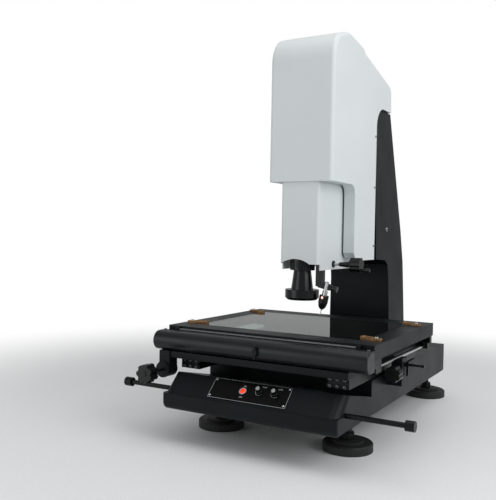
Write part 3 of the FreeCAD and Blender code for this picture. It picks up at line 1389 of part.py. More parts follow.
def along_probe(thing, side, reach):
    """Place a piece on the tilted probe: reach runs down the shank from the clamp's middle."""
    turn(thing, FreeCAD.Vector(0, 1, 0), "probe_tilt")
    lean = "(probe_tilt * 1deg)"
    return place(thing, f"probe_x - ({reach}) * sin{lean} + ({side}) * cos{lean}", "lens_y",
                 f"probe_height - ({reach}) * cos{lean} - ({side}) * sin{lean}")


def probe_rod(name, radius, start, end):
    """A round piece of the probe between two distances down from the clamp."""
    thing = document.addObject("Part::Cylinder", name)
    bind(thing, Radius=radius, Height=f"({end}) - ({start})")
    return along_probe(thing, "0", end)


def build_probe():
    lean = "(probe_tilt * 1deg)"
    clamp_y = "lens_y - clamp_front"
    bar = box("arm_bar", "arm_x", clamp_y, "probe_height + 6", "arm_width", "arm_thickness",
              "bracket_bottom - probe_height - 6")
    clamp = document.addObject("Part::Box", "clamp_block")
    bind(clamp, Length="clamp_reach + 12", Width="arm_thickness", Height="clamp_height")
    along_probe(clamp, "-clamp_reach", "2")
    clamp.setExpression("Placement.Base.y", bound(clamp_y))
    shank_bore = probe_rod("shank_bore", "shank_radius + bore_clearance", "-40", "20")

    # The lock screw presses on the shank from the right, behind its middle
    screw_up = "(clamp_height / 2 - 2)"
    screw_y = "lens_y + 3"
    screw_bore = side_rod("screw_bore", "lock_screw_radius + bore_clearance", "shank_radius - 2", "12",
                          screw_up, screw_y)
    node("probe_arm", cut("probe_arm", fused("arm_blank", bar, clamp), shank_bore, screw_bore))
    start = "(shank_radius + running_gap)"
    screw = side_rod("lock_screw", "lock_screw_radius", start, "12", screw_up, screw_y)
    head = document.addObject("Part::Cone", "lock_head")
    turn(head, FreeCAD.Vector(0, 1, 0), "probe_tilt + 90")
    bind(head, Radius1="2 * lock_screw_radius", Radius2="3 * lock_screw_radius", Height="20")
    place(head, f"probe_x + ({start} + 7) * cos{lean} + {screw_up} * sin{lean}", screw_y,
          f"probe_height + {screw_up} * cos{lean} - ({start} + 7) * sin{lean}")
    node("probe_lock_knob", fused("probe_lock_knob", screw, head))

    shank = probe_rod("shank", "shank_radius", "-shank_up", "8")
    collar = probe_rod("shank_collar", "collar_radius", "8", "probe_body_start")
    node("probe_shank", fused("probe_shank", shank, collar))

    case = probe_rod("probe_case", "probe_body_radius", "probe_body_start", "probe_body_taper")
    taper = probe_cone("probe_taper", "probe_body_radius", "probe_body_radius * 0.75",
                       "probe_body_taper", "probe_body_end")
    nose = probe_cone("probe_nose", "probe_body_radius * 0.75", "5", "probe_body_end",
                      "probe_body_end + probe_nose_length")
    socket = probe_rod("stylus_socket", "2.5", "probe_body_end - 8", "probe_body_end + probe_nose_length + 1")
    lamp_seat = probe_lamp_rod("lamp_seat", "probe_lamp_radius + bore_clearance")
    node("probe_body", cut("probe_body", fused("probe_blank", case, taper, nose), socket, lamp_seat))
    node("probe_lamp", probe_lamp_rod("probe_lamp", "probe_lamp_radius"))

    nose_end = "(probe_body_end + probe_nose_length)"
    root = probe_rod("stylus_root", "2", "probe_body_end - 6", f"{nose_end} + 4")
    stem = probe_rod("stylus_stem", "1.1", f"{nose_end} + 3", f"{nose_end} + stylus_length - stylus_ball")
    end = document.addObject("Part::Sphere", "stylus_end")
    bind(end, Radius="stylus_ball")
    along_probe(end, "0", f"{nose_end} + stylus_length - stylus_ball")
    node("stylus", fused("stylus", root, stem, end))


def side_rod(name, radius, start, length, up, y):
    """A rod square to the shank, towards the right: it starts beside the axis, above the clamp's foot."""
    thing = document.addObject("Part::Cylinder", name)
    turn(thing, FreeCAD.Vector(0, 1, 0), "probe_tilt + 90")
    bind(thing, Radius=radius, Height=length)
    lean = "(probe_tilt * 1deg)"
    return place(thing, f"probe_x + ({start}) * cos{lean} + {up} * sin{lean}", y,
                 f"probe_height + {up} * cos{lean} - ({start}) * sin{lean}")


def probe_cone(name, radius, end_radius, start, end):
    """A tapered piece of the probe: its first radius is at the upper distance."""
    thing = document.addObject("Part::Cone", name)
    bind(thing, Radius1=end_radius, Radius2=radius, Height=f"({end}) - ({start})")
    return along_probe(thing, "0", end)


def probe_lamp_rod(name, radius):
    """The touch lamp: a short rod out of the front of the probe's case, near its top."""
    thing = rod(name, "Y", radius, "8", "0", "0", "0")
    reach = "(probe_body_start + 5)"
    lean = "(probe_tilt * 1deg)"
    return place(thing, f"probe_x - {reach} * sin{lean}", "lens_y - probe_body_radius - 2",
                 f"probe_height - {reach} * cos{lean}")


def check_and_write():
    document.recompute()
    for thing in document.Objects:
        if "Invalid" in thing.State or "Error" in thing.State:
            raise RuntimeError(thing.Name + " is " + str(thing.State))
        if hasattr(thing, "Shape") and not thing.Shape.isNull() and not thing.Shape.isValid():
            raise RuntimeError(thing.Name + " has a bad shape")
    os.makedirs("parts", exist_ok=True)
    for thing in nodes:
        thing.Shape.exportStep("parts/" + thing.Label + ".step")


build_feet()
build_base()
build_bars()
build_panel()
build_lamp()
build_y_ways()
build_carriage()
build_table()
build_column()
build_shell()
build_head()
check_and_write()
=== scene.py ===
import json
import math

import bmesh
import bpy
from bpy.props import FloatProperty, FloatVectorProperty, PointerProperty
from mathutils import Matrix, Vector

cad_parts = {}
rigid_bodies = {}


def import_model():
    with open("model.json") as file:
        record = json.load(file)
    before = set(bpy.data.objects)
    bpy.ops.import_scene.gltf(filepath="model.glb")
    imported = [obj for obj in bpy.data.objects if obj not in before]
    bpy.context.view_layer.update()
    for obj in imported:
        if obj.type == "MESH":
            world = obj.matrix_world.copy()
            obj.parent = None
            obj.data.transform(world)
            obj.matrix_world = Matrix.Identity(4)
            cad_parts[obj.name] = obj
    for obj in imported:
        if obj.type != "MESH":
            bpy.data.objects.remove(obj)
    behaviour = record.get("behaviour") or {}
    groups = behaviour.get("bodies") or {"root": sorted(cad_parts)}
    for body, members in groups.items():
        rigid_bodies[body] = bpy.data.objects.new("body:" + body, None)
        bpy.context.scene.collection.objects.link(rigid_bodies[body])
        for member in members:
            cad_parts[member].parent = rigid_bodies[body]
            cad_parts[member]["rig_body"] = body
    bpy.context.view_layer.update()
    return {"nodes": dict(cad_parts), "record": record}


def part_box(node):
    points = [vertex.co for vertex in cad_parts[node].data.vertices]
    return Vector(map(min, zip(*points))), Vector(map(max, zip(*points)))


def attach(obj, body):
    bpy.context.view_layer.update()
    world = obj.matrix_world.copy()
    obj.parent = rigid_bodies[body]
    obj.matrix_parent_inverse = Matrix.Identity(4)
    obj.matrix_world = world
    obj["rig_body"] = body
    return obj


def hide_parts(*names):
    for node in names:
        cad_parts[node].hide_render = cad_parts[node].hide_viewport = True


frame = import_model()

bl_info = {
    "name": "Coordinate Measuring Machine",
    "version": (1, 0, 0),
    "blender": (4, 5, 0),
    "location": "View3D > Sidebar > Measuring Machine",
    "description": "Finishes a bench-top measuring machine with a video head and lights it in a studio",
    "category": "Object",
}

MM = 0.001
PHOTO_SIZE = (496, 500)
# Corners nearer to each other than this are one
SAME_PLACE = 0.002 * MM


def linear(code):
    """Turn an sRGB hex colour into the linear numbers that shaders take."""
    shades = [int(code[start:start + 2], 16) / 255 for start in (1, 3, 5)]
    return tuple(s / 12.92 if s <= 0.04045 else ((s + 0.055) / 1.055) ** 2.4 for s in shades)


# Sizes and colours that a user would change

class FinishSettings(bpy.types.PropertyGroup):
    """Colours of the finishes and the size of broken edges."""
    iron_paint: FloatVectorProperty(
        name="Iron paint", description="Satin black machine enamel on the castings",
        subtype="COLOR", size=3, min=0, max=1, default=linear("#0F1417"))
    cover_paint: FloatVectorProperty(
        name="Cover paint", description="Powder coat of the head's covers",
        subtype="COLOR", size=3, min=0, max=1, default=linear("#DDE3E4"))
    anodised: FloatVectorProperty(
        name="Anodised black", description="Anodised aluminium of the front cover and the lens",
        subtype="COLOR", size=3, min=0, max=1, default=linear("#111618"))
    clip_metal: FloatVectorProperty(
        name="Clip metal", description="Lacquered copper alloy of the glass clips",
        subtype="COLOR", size=3, min=0, max=1, default=linear("#A9825A"))
    casting_edge: FloatProperty(
        name="Casting edge", description="Radius that breaks the edges of castings",
        subtype="DISTANCE", unit="LENGTH", default=1.6 * MM, min=0.2 * MM, max=4 * MM)
    plate_edge: FloatProperty(
        name="Plate edge", description="Radius that breaks the edges of machined plates and bars",
        subtype="DISTANCE", unit="LENGTH", default=0.7 * MM, min=0.1 * MM, max=2 * MM)


class StudioSettings(bpy.types.PropertyGroup):
    """Light and floor of the studio."""
    key_power: FloatProperty(
        name="Key light", description="Power of the large soft light on the right",
        subtype="POWER", default=42, min=0)
    fill_power: FloatProperty(
        name="Fill light", description="Power of the soft light in front on the left",
        subtype="POWER", default=10, min=0)
    top_power: FloatProperty(
        name="Top light", description="Power of the soft light overhead",
        subtype="POWER", default=26, min=0)
    sky_strength: FloatProperty(
        name="Room light", description="Strength of the even light from all round", default=0.42, min=0)


# Helpers for materials

def add_node(tree, kind, inputs=None, **settings):
    """Add a node with its settings; an input is a number, a colour or another node's output."""
    made = tree.nodes.new(kind)
    for name, setting in settings.items():
        setattr(made, name, setting)
    for name, given in (inputs or {}).items():
        if isinstance(given, bpy.types.NodeSocket):
            tree.links.new(given, made.inputs[name])
        else:
            made.inputs[name].default_value = given
    return made


def new_material(name):
    """An empty node material, its tree, and the object's own coordinates in it."""
    material = bpy.data.materials.new(name)
    material.use_nodes = True
    tree = material.node_tree
    tree.nodes.clear()
    place = add_node(tree, "ShaderNodeTexCoord").outputs["Object"]
    return material, tree, place


def shaded(material, inputs):
    """Close a material with a shader that takes these inputs, and hand it back."""
    shader = add_node(material.node_tree, "ShaderNodeBsdfPrincipled", inputs)
    add_node(material.node_tree, "ShaderNodeOutputMaterial", {"Surface": shader.outputs[0]})
    return material


def mottled(tree, place, size, detail, colours=None, roughness=None):
    """
    Colour and roughness that drift together over lumps of a size in millimetres.

    Both are pairs, of colours and of numbers, and what isn't given isn't returned.
    """
    noise = add_node(tree, "ShaderNodeTexNoise", {
        "Vector": place, "Scale": 1 / (size * MM), "Detail": detail})
    drift = {"Value": noise.outputs["Fac"], "From Min": 0.3, "From Max": 0.7}
    look = {}
    if colours:
        share = add_node(tree, "ShaderNodeMapRange", drift)
        blend = add_node(tree, "ShaderNodeMix", {
            0: share.outputs["Result"], 6: (*colours[0], 1), 7: (*colours[1], 1)}, data_type="RGBA")
        look["Base Color"] = blend.outputs[2]
    if roughness:
        span = add_node(tree, "ShaderNodeMapRange", {
            **drift, "To Min": roughness[0], "To Max": roughness[1]})
        look["Roughness"] = span.outputs["Result"]
    return look


def pebbled(tree, place, lumps, depth, strength):
    """Relief of a depth in millimetres; each of the lumps is a size in millimetres and a detail."""
    height, *finer = (
        add_node(tree, "ShaderNodeTexNoise", {
            "Vector": place, "Scale": 1 / (size * MM), "Detail": detail}).outputs["Fac"]
        for size, detail in lumps)
    for lump in finer:
        height = add_node(tree, "ShaderNodeMath", {0: height, 1: lump}, operation="MULTIPLY").outputs[0]
    bump = add_node(tree, "ShaderNodeBump", {
        "Height": height, "Distance": depth * MM, "Strength": strength})
    return {"Normal": bump.outputs["Normal"]}


def seen_from_front(tree, blend, middle, rim):
    """A colour that goes from one, where the surface faces the eye, to another at its rim."""
    facing = add_node(tree, "ShaderNodeLayerWeight", {"Blend": blend})
    return add_node(tree, "ShaderNodeMix", {
        0: facing.outputs["Facing"], 6: (*middle, 1), 7: (*rim, 1)}, data_type="RGBA").outputs[2]


def scaled(colour, factor):
    return tuple(min(1.0, channel * factor) for channel in colour)


# Materials

def machine_enamel():
    """Two-pack satin black enamel, sprayed on filled cast iron: soft sheen over a faint orange peel."""
    material, tree, place = new_material("satin_black_machine_enamel")
    base = bpy.context.scene.machine_finish.iron_paint
    return shaded(material, {
        **mottled(tree, place, 90, 3, (scaled(base, 0.8), scaled(base, 1.25)), (0.34, 0.46)),
        **pebbled(tree, place, ((2.2, 2), (0.9, 1)), depth=0.05, strength=0.6),
        "IOR": 1.5, "Specular IOR Level": 0.15})


def powder_coat():
    """Fine textured white powder coat on sheet steel: even, slightly pebbled and low in gloss."""
    material, tree, place = new_material("white_powder_coat")
    base = bpy.context.scene.machine_finish.cover_paint
    return shaded(material, {
        **mottled(tree, place, 160, 2, (scaled(base, 0.965), scaled(base, 1.0)), (0.42, 0.52)),
        **pebbled(tree, place, ((1.1, 2),), depth=0.04, strength=0.5),
        "IOR": 1.5})


def anodised_aluminium():
    """Bead-blasted, black anodised aluminium: dark with a wide, cool, satin highlight."""
    material, tree, place = new_material("black_anodised_aluminium")
    base = bpy.context.scene.machine_finish.anodised
    return shaded(material, {
        **mottled(tree, place, 60, 2, (scaled(base, 0.9), scaled(base, 1.15)), (0.3, 0.38)),
        **pebbled(tree, place, ((0.6, 2),), depth=0.02, strength=0.5),
        "Metallic": 0.35})


def turned_anodised():
    """Lathe-turned, black anodised aluminium of the lens: upright glints over fine turning rings."""
    material, tree, place = new_material("lathe_turned_black_anodised_aluminium")
    # the small scales draw the lumps of the noise out round the lens
    mapping = add_node(tree, "ShaderNodeMapping", {"Vector": place, "Scale": (0.02, 0.02, 1)})
    rings = mapping.outputs["Vector"]
    return shaded(material, {
        **mottled(tree, rings, 0.5, 2, (linear("#0E1011"), linear("#181B1D")), (0.2, 0.28)),
        **pebbled(tree, rings, ((0.5, 2),), depth=0.01, strength=0.5),
        "Metallic": 0.7, "Coat Weight": 0.35, "Coat Roughness": 0.12})


def panel_lacquer():
    """Clear-lacquered black print on the panel's sheet: the deepest black on the machine, and smooth."""
    material, tree, place = new_material("lacquered_black_screen_print")
    return shaded(material, {
        **mottled(tree, place, 18, 2, (linear("#030303"), linear("#070808")), (0.25, 0.32)),
        "Specular IOR Level": 0.12})


def black_oxide_steel():
    """Ground bar steel with black oxide: dark, a little bluish, with grinding lines along it."""
    material, tree, place = new_material("black_oxide_ground_steel")
    # the small scale draws the lumps of the noise out along Y
    mapping = add_node(tree, "ShaderNodeMapping", {"Vector": place, "Scale": (1, 0.03, 1)})
    lines = mapping.outputs["Vector"]
    return shaded(material, {
        **mottled(tree, lines, 0.8, 3, (linear("#0C0E0F"), linear("#16181A")), (0.3, 0.42)),
        **pebbled(tree, lines, ((0.8, 3),), depth=0.01, strength=0.4),
        "Metallic": 0.5, "Specular IOR Level": 0.35})


def polished_steel():
    """Hard-chromed, polished steel rod and screw metal: bright, with faint marks round it."""
    material, tree, place = new_material("polished_hard_chrome_steel")
    return shaded(material, {
        **mottled(tree, place, 3, 3, roughness=(0.16, 0.26)),
        "Base Color": (*linear("#C9CBCC"), 1), "Metallic": 1.0})


def zinc_screws():
    """Black-passivated zinc on small screws: grey metal, dull, with darker blotches."""
    material, tree, place = new_material("passivated_zinc_plate")
    return shaded(material, {
        **mottled(tree, place, 2.5, 3, (linear("#55585A"), linear("#7C8082")), (0.3, 0.45)),
        "Metallic": 0.9})


def screw_recess():
    """The oily socket of a forged screw: dark, since little light comes out of it again."""
    material, tree, place = new_material("oily_forged_socket")
    return shaded(material, {
        **mottled(tree, place, 1.5, 2, (linear("#121314"), linear("#242628"))),
        "Metallic": 0.4, "Roughness": 0.4})


def moulded_plastic():
    """Injection-moulded black phenolic and ABS of knobs and grips: a fine grain with a dull gloss."""
    material, tree, place = new_material("black_moulded_phenolic")
    return shaded(material, {
        **mottled(tree, place, 0.8, 2, (linear("#090A0B"), linear("#111213")), (0.26, 0.36)),
        **pebbled(tree, place, ((0.8, 2),), depth=0.02, strength=0.4),
        "IOR": 1.54, "Specular IOR Level": 0.35})


def foot_rubber():
    """Moulded black nitrile rubber of the feet: matt, with a dusty bloom."""
    material, tree, place = new_material("moulded_nitrile_rubber")
    return shaded(material, {
        **mottled(tree, place, 14, 4, (linear("#0D0E0F"), linear("#17191A")), (0.55, 0.75)),
        **pebbled(tree, place, ((1.0, 2),), depth=0.05, strength=0.5)})


def copper_clip():
    """Lacquered copper alloy strip: warm brown metal with rubbed brighter patches."""
    material, tree, place = new_material("lacquered_copper_alloy")
    base = bpy.context.scene.machine_finish.clip_metal
    return shaded(material, {
        **mottled(tree, place, 12, 4, (scaled(base, 0.55), scaled(base, 1.2)), (0.28, 0.45)),
        "Metallic": 0.85})


def clip_face_painted_shade():
    """The sunk face of the clips, coloured dull dark brown: painted shade in the recess."""
    material, tree, place = new_material("copper_alloy_painted_recess_shade")
    return shaded(material, {
        # painted shade: the sunk face is darker than the clip's metal around it
        **mottled(tree, place, 5, 4, (linear("#3A261C"), linear("#6B4A38")), (0.4, 0.6)),
        "Metallic": 0.5})


def plate_glass():
    """Float glass, ground and polished: clear and slightly wavy, with a grey-green body colour."""
    material, tree, place = new_material("green_tinted_float_glass")
    return shaded(material, {
        **pebbled(tree, place, ((120, 1),), depth=0.01, strength=0.1),
        "Base Color": (*linear("#B4CCC0"), 1), "Roughness": 0.01, "IOR": 1.46,
        "Transmission Weight": 1.0})


def glass_edge():
    """The ground edge of thick float glass, where the green of the glass gathers."""
    material, tree, place = new_material("float_glass_edge")
    return shaded(material, {
        **mottled(tree, place, 30, 2, (linear("#6FA896"), linear("#A5D2C2"))),
        "Roughness": 0.3, "IOR": 1.52, "Transmission Weight": 0.35})


def coated_lens():
    """Optical crown glass with an anti-reflection coating: nearly black, with a painted violet reflection
    towards its rim.
    """
    material, tree, place = new_material("optical_glass_painted_violet_reflection")
    return shaded(material, {
        # painted reflection: the colour turns violet where the surface turns away from the eye
        "Base Color": seen_from_front(tree, 0.35, linear("#0B0D14"), linear("#4A3B66")),
        "Roughness": 0.03, "IOR": 1.6})


def lit_lens(name, core, rim, strength):
    """Coloured acrylic dome with a lamp behind it: pale where it faces the eye, deep at its rim."""
    material, tree, place = new_material(name)
    return shaded(material, {
        **mottled(tree, place, 1.2, 2, (scaled(linear(rim), 0.7), linear(rim))),
        "Roughness": 0.2, "IOR": 1.49, "Emission Strength": strength,
        "Emission Color": seen_from_front(tree, 0.45, linear(core), linear(rim))})


def opal_diffuser():
    """Opal acrylic under the lamp ring: white and evenly matt."""
    material, tree, place = new_material("opal_acrylic")
    return shaded(material, {
        **mottled(tree, place, 2, 2, (linear("#DADCDA"), linear("#F1F2F0"))),
        "Roughness": 0.45, "Subsurface Weight": 0.2, "Subsurface Scale": 2 * MM})


def printed_white():
    """White ink, screen-printed on the control panel: flat, and slightly worn."""
    material, tree, place = new_material("white_screen_print_ink")
    return shaded(material, {
        **mottled(tree, place, 0.7, 3, (linear("#B9BDBE"), linear("#E3E6E6"))),
        "Roughness": 0.5})


MATERIALS = {}


def build_materials():
    MATERIALS.update({
        "enamel": machine_enamel(),
        "powder": powder_coat(),
        "anodised": anodised_aluminium(),
        "oxide": black_oxide_steel(),
        "gloss": turned_anodised(),
        "panel": panel_lacquer(),
        "polished": polished_steel(),
        "plastic": moulded_plastic(),
        "rubber": foot_rubber(),
        "copper": copper_clip(),
        "glass": plate_glass(),
        "glass_edge": glass_edge(),
        "lens": coated_lens(),
        "red_lamp": lit_lens("lit_orange_red_acrylic", "#FF4A1C", "#C01404", 1.1),
        "probe_lamp": lit_lens("lit_red_light_diode_epoxy", "#FFD2C4", "#E0140E", 2.4),
        "opal": opal_diffuser(),
        "ink": printed_white(),
        "recess": screw_recess(),
        "clip_face_painted_shade": clip_face_painted_shade(),
        "zinc": zinc_screws(),
    })


# Helpers for pieces

def deselect():
    if bpy.context.object and bpy.context.object.mode != "OBJECT":
        bpy.ops.object.mode_set(mode="OBJECT")
    bpy.ops.object.select_all(action="DESELECT")


def activate(piece):
    deselect()
    piece.select_set(True)
    bpy.context.view_layer.objects.active = piece


def apply_modifier(piece, kind, name, **settings):
    activate(piece)
    modifier = piece.modifiers.new(name, kind)
    for key, setting in settings.items():
        setattr(modifier, key, setting)
    bpy.ops.object.modifier_apply(modifier=modifier.name)


def settle(piece, body, material, slot, *nodes):
    """Put a finished piece's place in its mesh, give it its finish, and let it ride on its body."""
    activate(piece)
    bpy.ops.object.transform_apply(location=True, rotation=True, scale=True)
    if material:
        piece.data.materials.clear()
        piece.data.materials.append(MATERIALS[material])
    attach(piece, body)
    if nodes:
        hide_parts(*nodes)
    deselect()
    return piece


def body_of_node(name):
    return frame["nodes"][name]["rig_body"]


SLOTS = {part["node"]: part["material_slot"] for part in frame["record"]["subparts"]}


def copied(name):
    """A merged copy of a solid's mesh, ready to be worked on."""
    source = frame["nodes"][name]
    piece = bpy.data.objects.new(name + "_finished", source.data.copy())
    bpy.context.scene.collection.objects.link(piece)
    activate(piece)
    bpy.ops.object.mode_set(mode="EDIT")
    bpy.ops.mesh.select_all(action="SELECT")
    bpy.ops.mesh.remove_doubles(threshold=SAME_PLACE)
    bpy.ops.object.mode_set(mode="OBJECT")
    return piece


def soft_edged(name, width, material, segments=2, angle=34):
    """Stand in for a solid with the same shape and its sharp edges broken."""
    piece = copied(name)
    apply_modifier(piece, "BEVEL", "broken edges", width=width, segments=segments, limit_method="ANGLE",
                   angle_limit=math.radians(angle), miter_outer="MITER_ARC", loop_slide=False,
                   use_clamp_overlap=True)
    activate(piece)
    bpy.ops.object.shade_smooth_by_angle(angle=math.radians(40))
    apply_modifier(piece, "WEIGHTED_NORMAL", "flat faces", mode="FACE_AREA_WITH_ANGLE", weight=60,
                   keep_sharp=True)
    return settle(piece, body_of_node(name), material, SLOTS[name], name)


def coated(name, material):
    """Keep a solid as it is and give it its finish."""
    solid = frame["nodes"][name]
    solid.data.materials.clear()
    solid.data.materials.append(MATERIALS[material])


def repaint(piece, material, wanted):
    """Give the faces that the test picks, by their centre and normal, a finish of their own."""
    if not piece.data.materials:
        piece.data.materials.append(MATERIALS["polished"])
    piece.data.materials.append(MATERIALS[material])
    for face in piece.data.polygons:
        if wanted(face.center, face.normal):
            face.material_index = len(piece.data.materials) - 1


def solids(name):
    """The lowest and the highest corner of every separate solid of a node, from left to right."""
    mesh = bmesh.new()
    mesh.from_mesh(frame["nodes"][name].data)
    bmesh.ops.remove_doubles(mesh, verts=mesh.verts, dist=SAME_PLACE)
    waiting = set(mesh.verts)
    found = []
    while waiting:
        ends = [waiting.pop()]
        corners = [ends[0].co]
        while ends:
            for edge in ends.pop().link_edges:
                for vert in edge.verts:
                    if vert in waiting:
                        waiting.remove(vert)
                        ends.append(vert)
                        corners.append(vert.co)
        found.append((Vector(map(min, zip(*corners))), Vector(map(max, zip(*corners)))))
    mesh.free()
    return sorted(found, key=lambda corners: [round(number, 4) for number in corners[0]])


def turned(name, rings, vertices=48):
    """Model a turned piece about the Z axis: a disc drawn from ring to ring, each a radius and a height."""
    deselect()
    bpy.ops.mesh.primitive_circle_add(vertices=vertices, radius=rings[0][0], fill_type="NGON",
                                      location=(0, 0, rings[0][1]))
    piece = bpy.context.object
    piece.name = name
    bpy.ops.object.transform_apply(location=True)
    bpy.ops.object.mode_set(mode="EDIT")
    bpy.ops.mesh.select_all(action="SELECT")
    for (before, level), (after, height) in zip(rings, rings[1:]):
        bpy.ops.mesh.extrude_region_move(TRANSFORM_OT_translate={"value": (0, 0, height - level)})
        bpy.ops.transform.resize(value=(after / before, after / before, 1), center_override=(0, 0, height))
    bpy.ops.mesh.select_all(action="SELECT")
    bpy.ops.mesh.normals_make_consistent(inside=False)
    bpy.ops.object.mode_set(mode="OBJECT")
    bpy.ops.object.shade_smooth_by_angle(angle=math.radians(35))
    return piece


def domed(name, radius, foot, top, dome, vertices=48):
    """
    Model a round piece from its foot up to a domed top.

    Each ring of the dome is a share of the radius and how far it lies below the top, in millimetres.
    """
    rings = [(radius, foot)] + [(radius * share, top - drop * MM) for share, drop in dome]
    return turned(name, rings, vertices)


def cut_by(piece, tool):
    """Take the tool's shape out of a piece, and the tool away."""
    apply_modifier(piece, "BOOLEAN", "recess", object=tool, operation="DIFFERENCE", solver="EXACT")
    bpy.data.objects.remove(tool)


def screw(radius, height, recess, shank=0.0, depth=0.0):
    """Model a screw, head up on the origin: broken rim, a hexagon or a slot in its top, and its shank."""
    rim = radius * 0.16
    socket_radius = radius * 0.56
    slot_width = radius * 0.3
    sink = min(height * 0.62, radius * 0.6)
    rings = [(shank, -depth), (shank, 0)] if shank else []
    rings += [(radius, 0), (radius, height - rim), (radius - rim * 0.3, height - rim * 0.3),
              (radius - rim, height)]
    piece = turned("screw", rings, 36)
    if recess == "hexagon":
        bpy.ops.mesh.primitive_cylinder_add(vertices=6, radius=socket_radius, depth=2 * sink,
                                            location=(0, 0, height))
    else:
        bpy.ops.mesh.primitive_cube_add(size=1, location=(0, 0, height),
                                        scale=(3 * radius, slot_width, sink))
    cut_by(piece, bpy.context.object)
    repaint(piece, "recess", lambda centre, normal: centre.z > 0 and centre.xy.length < radius * 0.58
            and centre.z < height - rim)
    return piece


def standing(piece, foot, axis):
    """A copy of a piece with its own mesh, moved to a foot point and turned from Z to an axis."""
    made = bpy.data.objects.new(piece.name, piece.data.copy())
    bpy.context.scene.collection.objects.link(made)
    made.matrix_world = Matrix.Translation(foot) @ Vector(axis).to_track_quat("Z", "X").to_matrix().to_4x4()
    return made


def joined(name, pieces):
    deselect()
    for piece in pieces:
        piece.select_set(True)
    bpy.context.view_layer.objects.active = pieces[0]
    if len(pieces) > 1:
        bpy.ops.object.join()
    pieces[0].name = name
    return pieces[0]


def screws_for(name, outward, recess, material, head=None, shank=0.0, length=None):
    """Model the screws of a node: each solid gives the place and size of one, and its axis is asked for."""
    samples = {}
    placed = []
    for low, high in solids(name):
        size = high - low
        centre = (low + high) / 2
        axis = Vector(outward(centre, size))
        reach = length or abs(axis.dot(size))
        radius = size.z / 2 if abs(axis.x) > 0.5 else size.x / 2
        top = head or reach
        key = (round(radius, 5), round(reach, 5))
        if key not in samples:
            sample = screw(radius, top, recess, shank, reach - top)
            sample.data.materials[0] = MATERIALS[material]
            samples[key] = sample
        placed.append(standing(samples[key], centre + axis * (reach / 2 - top), axis))
    for sample in samples.values():
        bpy.data.objects.remove(sample)
    return settle(joined(name + "_finished", placed), body_of_node(name), None, SLOTS[name], name)


# Operators, one for each piece or group of like pieces

class MACHINE_OT_castings(bpy.types.Operator):
    """Break the edges of the castings and paint them"""
    bl_idname = "machine.castings"
    bl_label = "Castings"

    def execute(self, context):
        edge = context.scene.machine_finish.casting_edge
        for name in ("base_casting", "column"):
            soft_edged(name, edge, "enamel")
        for name in ("table_frame", "y_carriage", "head_frame", "y_drive_unit", "x_drive_unit"):
            soft_edged(name, edge * 0.6, "enamel")
        soft_edged("z_drive_unit", edge * 0.3, "enamel")
        return {"FINISHED"}


class MACHINE_OT_ways(bpy.types.Operator):
    """Give the ways, rods and brackets their broken edges and ground finish"""
    bl_idname = "machine.ways"
    bl_label = "Ways and Rods"

    def execute(self, context):
        edge = context.scene.machine_finish.plate_edge
        for name in ("y_fixed_ways", "y_slide_bars", "x_fixed_ways", "x_slide_bars", "y_rod_brackets",
                     "x_rod_brackets", "z_slide_plate", "z_runners"):
            soft_edged(name, edge, "oxide")
        for name in ("y_drive_rod", "z_ways"):
            coated(name, "polished")
        coated("x_guide_rod", "zinc")
        coated("foot_studs", "oxide")
        soft_edged("foot_nuts", edge, "oxide")
        soft_edged("carrying_bars", edge * 1.4, "oxide")
        return {"FINISHED"}


class MACHINE_OT_covers(bpy.types.Operator):
    """Finish the head's covers and the round-nosed front cover"""
    bl_idname = "machine.covers"
    bl_label = "Covers"

    def execute(self, context):
        edge = context.scene.machine_finish.plate_edge
        soft_edged("head_shell", edge * 1.2, "powder")
        soft_edged("inner_cover", edge, "powder")
        soft_edged("front_cover", edge, "anodised")
        return {"FINISHED"}


class MACHINE_OT_table(bpy.types.Operator):
    """Finish the glass, its clips and their screws"""
    bl_idname = "machine.table"
    bl_label = "Table Glass and Clips"

    def execute(self, context):
        edge = context.scene.machine_finish.plate_edge
        glass = soft_edged("glass_plate", edge, "glass")
        repaint(glass, "glass_edge", lambda centre, normal: abs(normal.z) < 0.9)
        build_clips()
        return {"FINISHED"}


# How far each clip is turned about the upright axis, in degrees, left to right and front to back
CLIP_TURNS = {(-1, -1): 18, (-1, 1): -19, (1, -1): -20, (1, 1): -24}


def clip_model(length, width, thickness):
    """One clip on the origin: a strip with round ends and a shallow sunk face, along X."""
    radius = width / 2
    edge = 0.8 * MM
    rim = 2.6 * MM
    slope_end = 3.6 * MM
    sink = 1.6 * MM
    piece = turned("clip", [(radius, 0), (radius, thickness - edge), (radius - edge, thickness),
                            (radius - rim, thickness), (radius - slope_end, thickness - sink)], 40)
    stretch = (length - width) / 2
    for vert in piece.data.vertices:
        vert.co.x += math.copysign(stretch, vert.co.x) if abs(vert.co.x) > 1e-6 else 0
    # the sunk face gets the darker finish, which is painted shade in the recess
    repaint(piece, "clip_face_painted_shade", lambda centre, normal: normal.z > 0.9 and centre.z < thickness - sink / 2)
    return piece


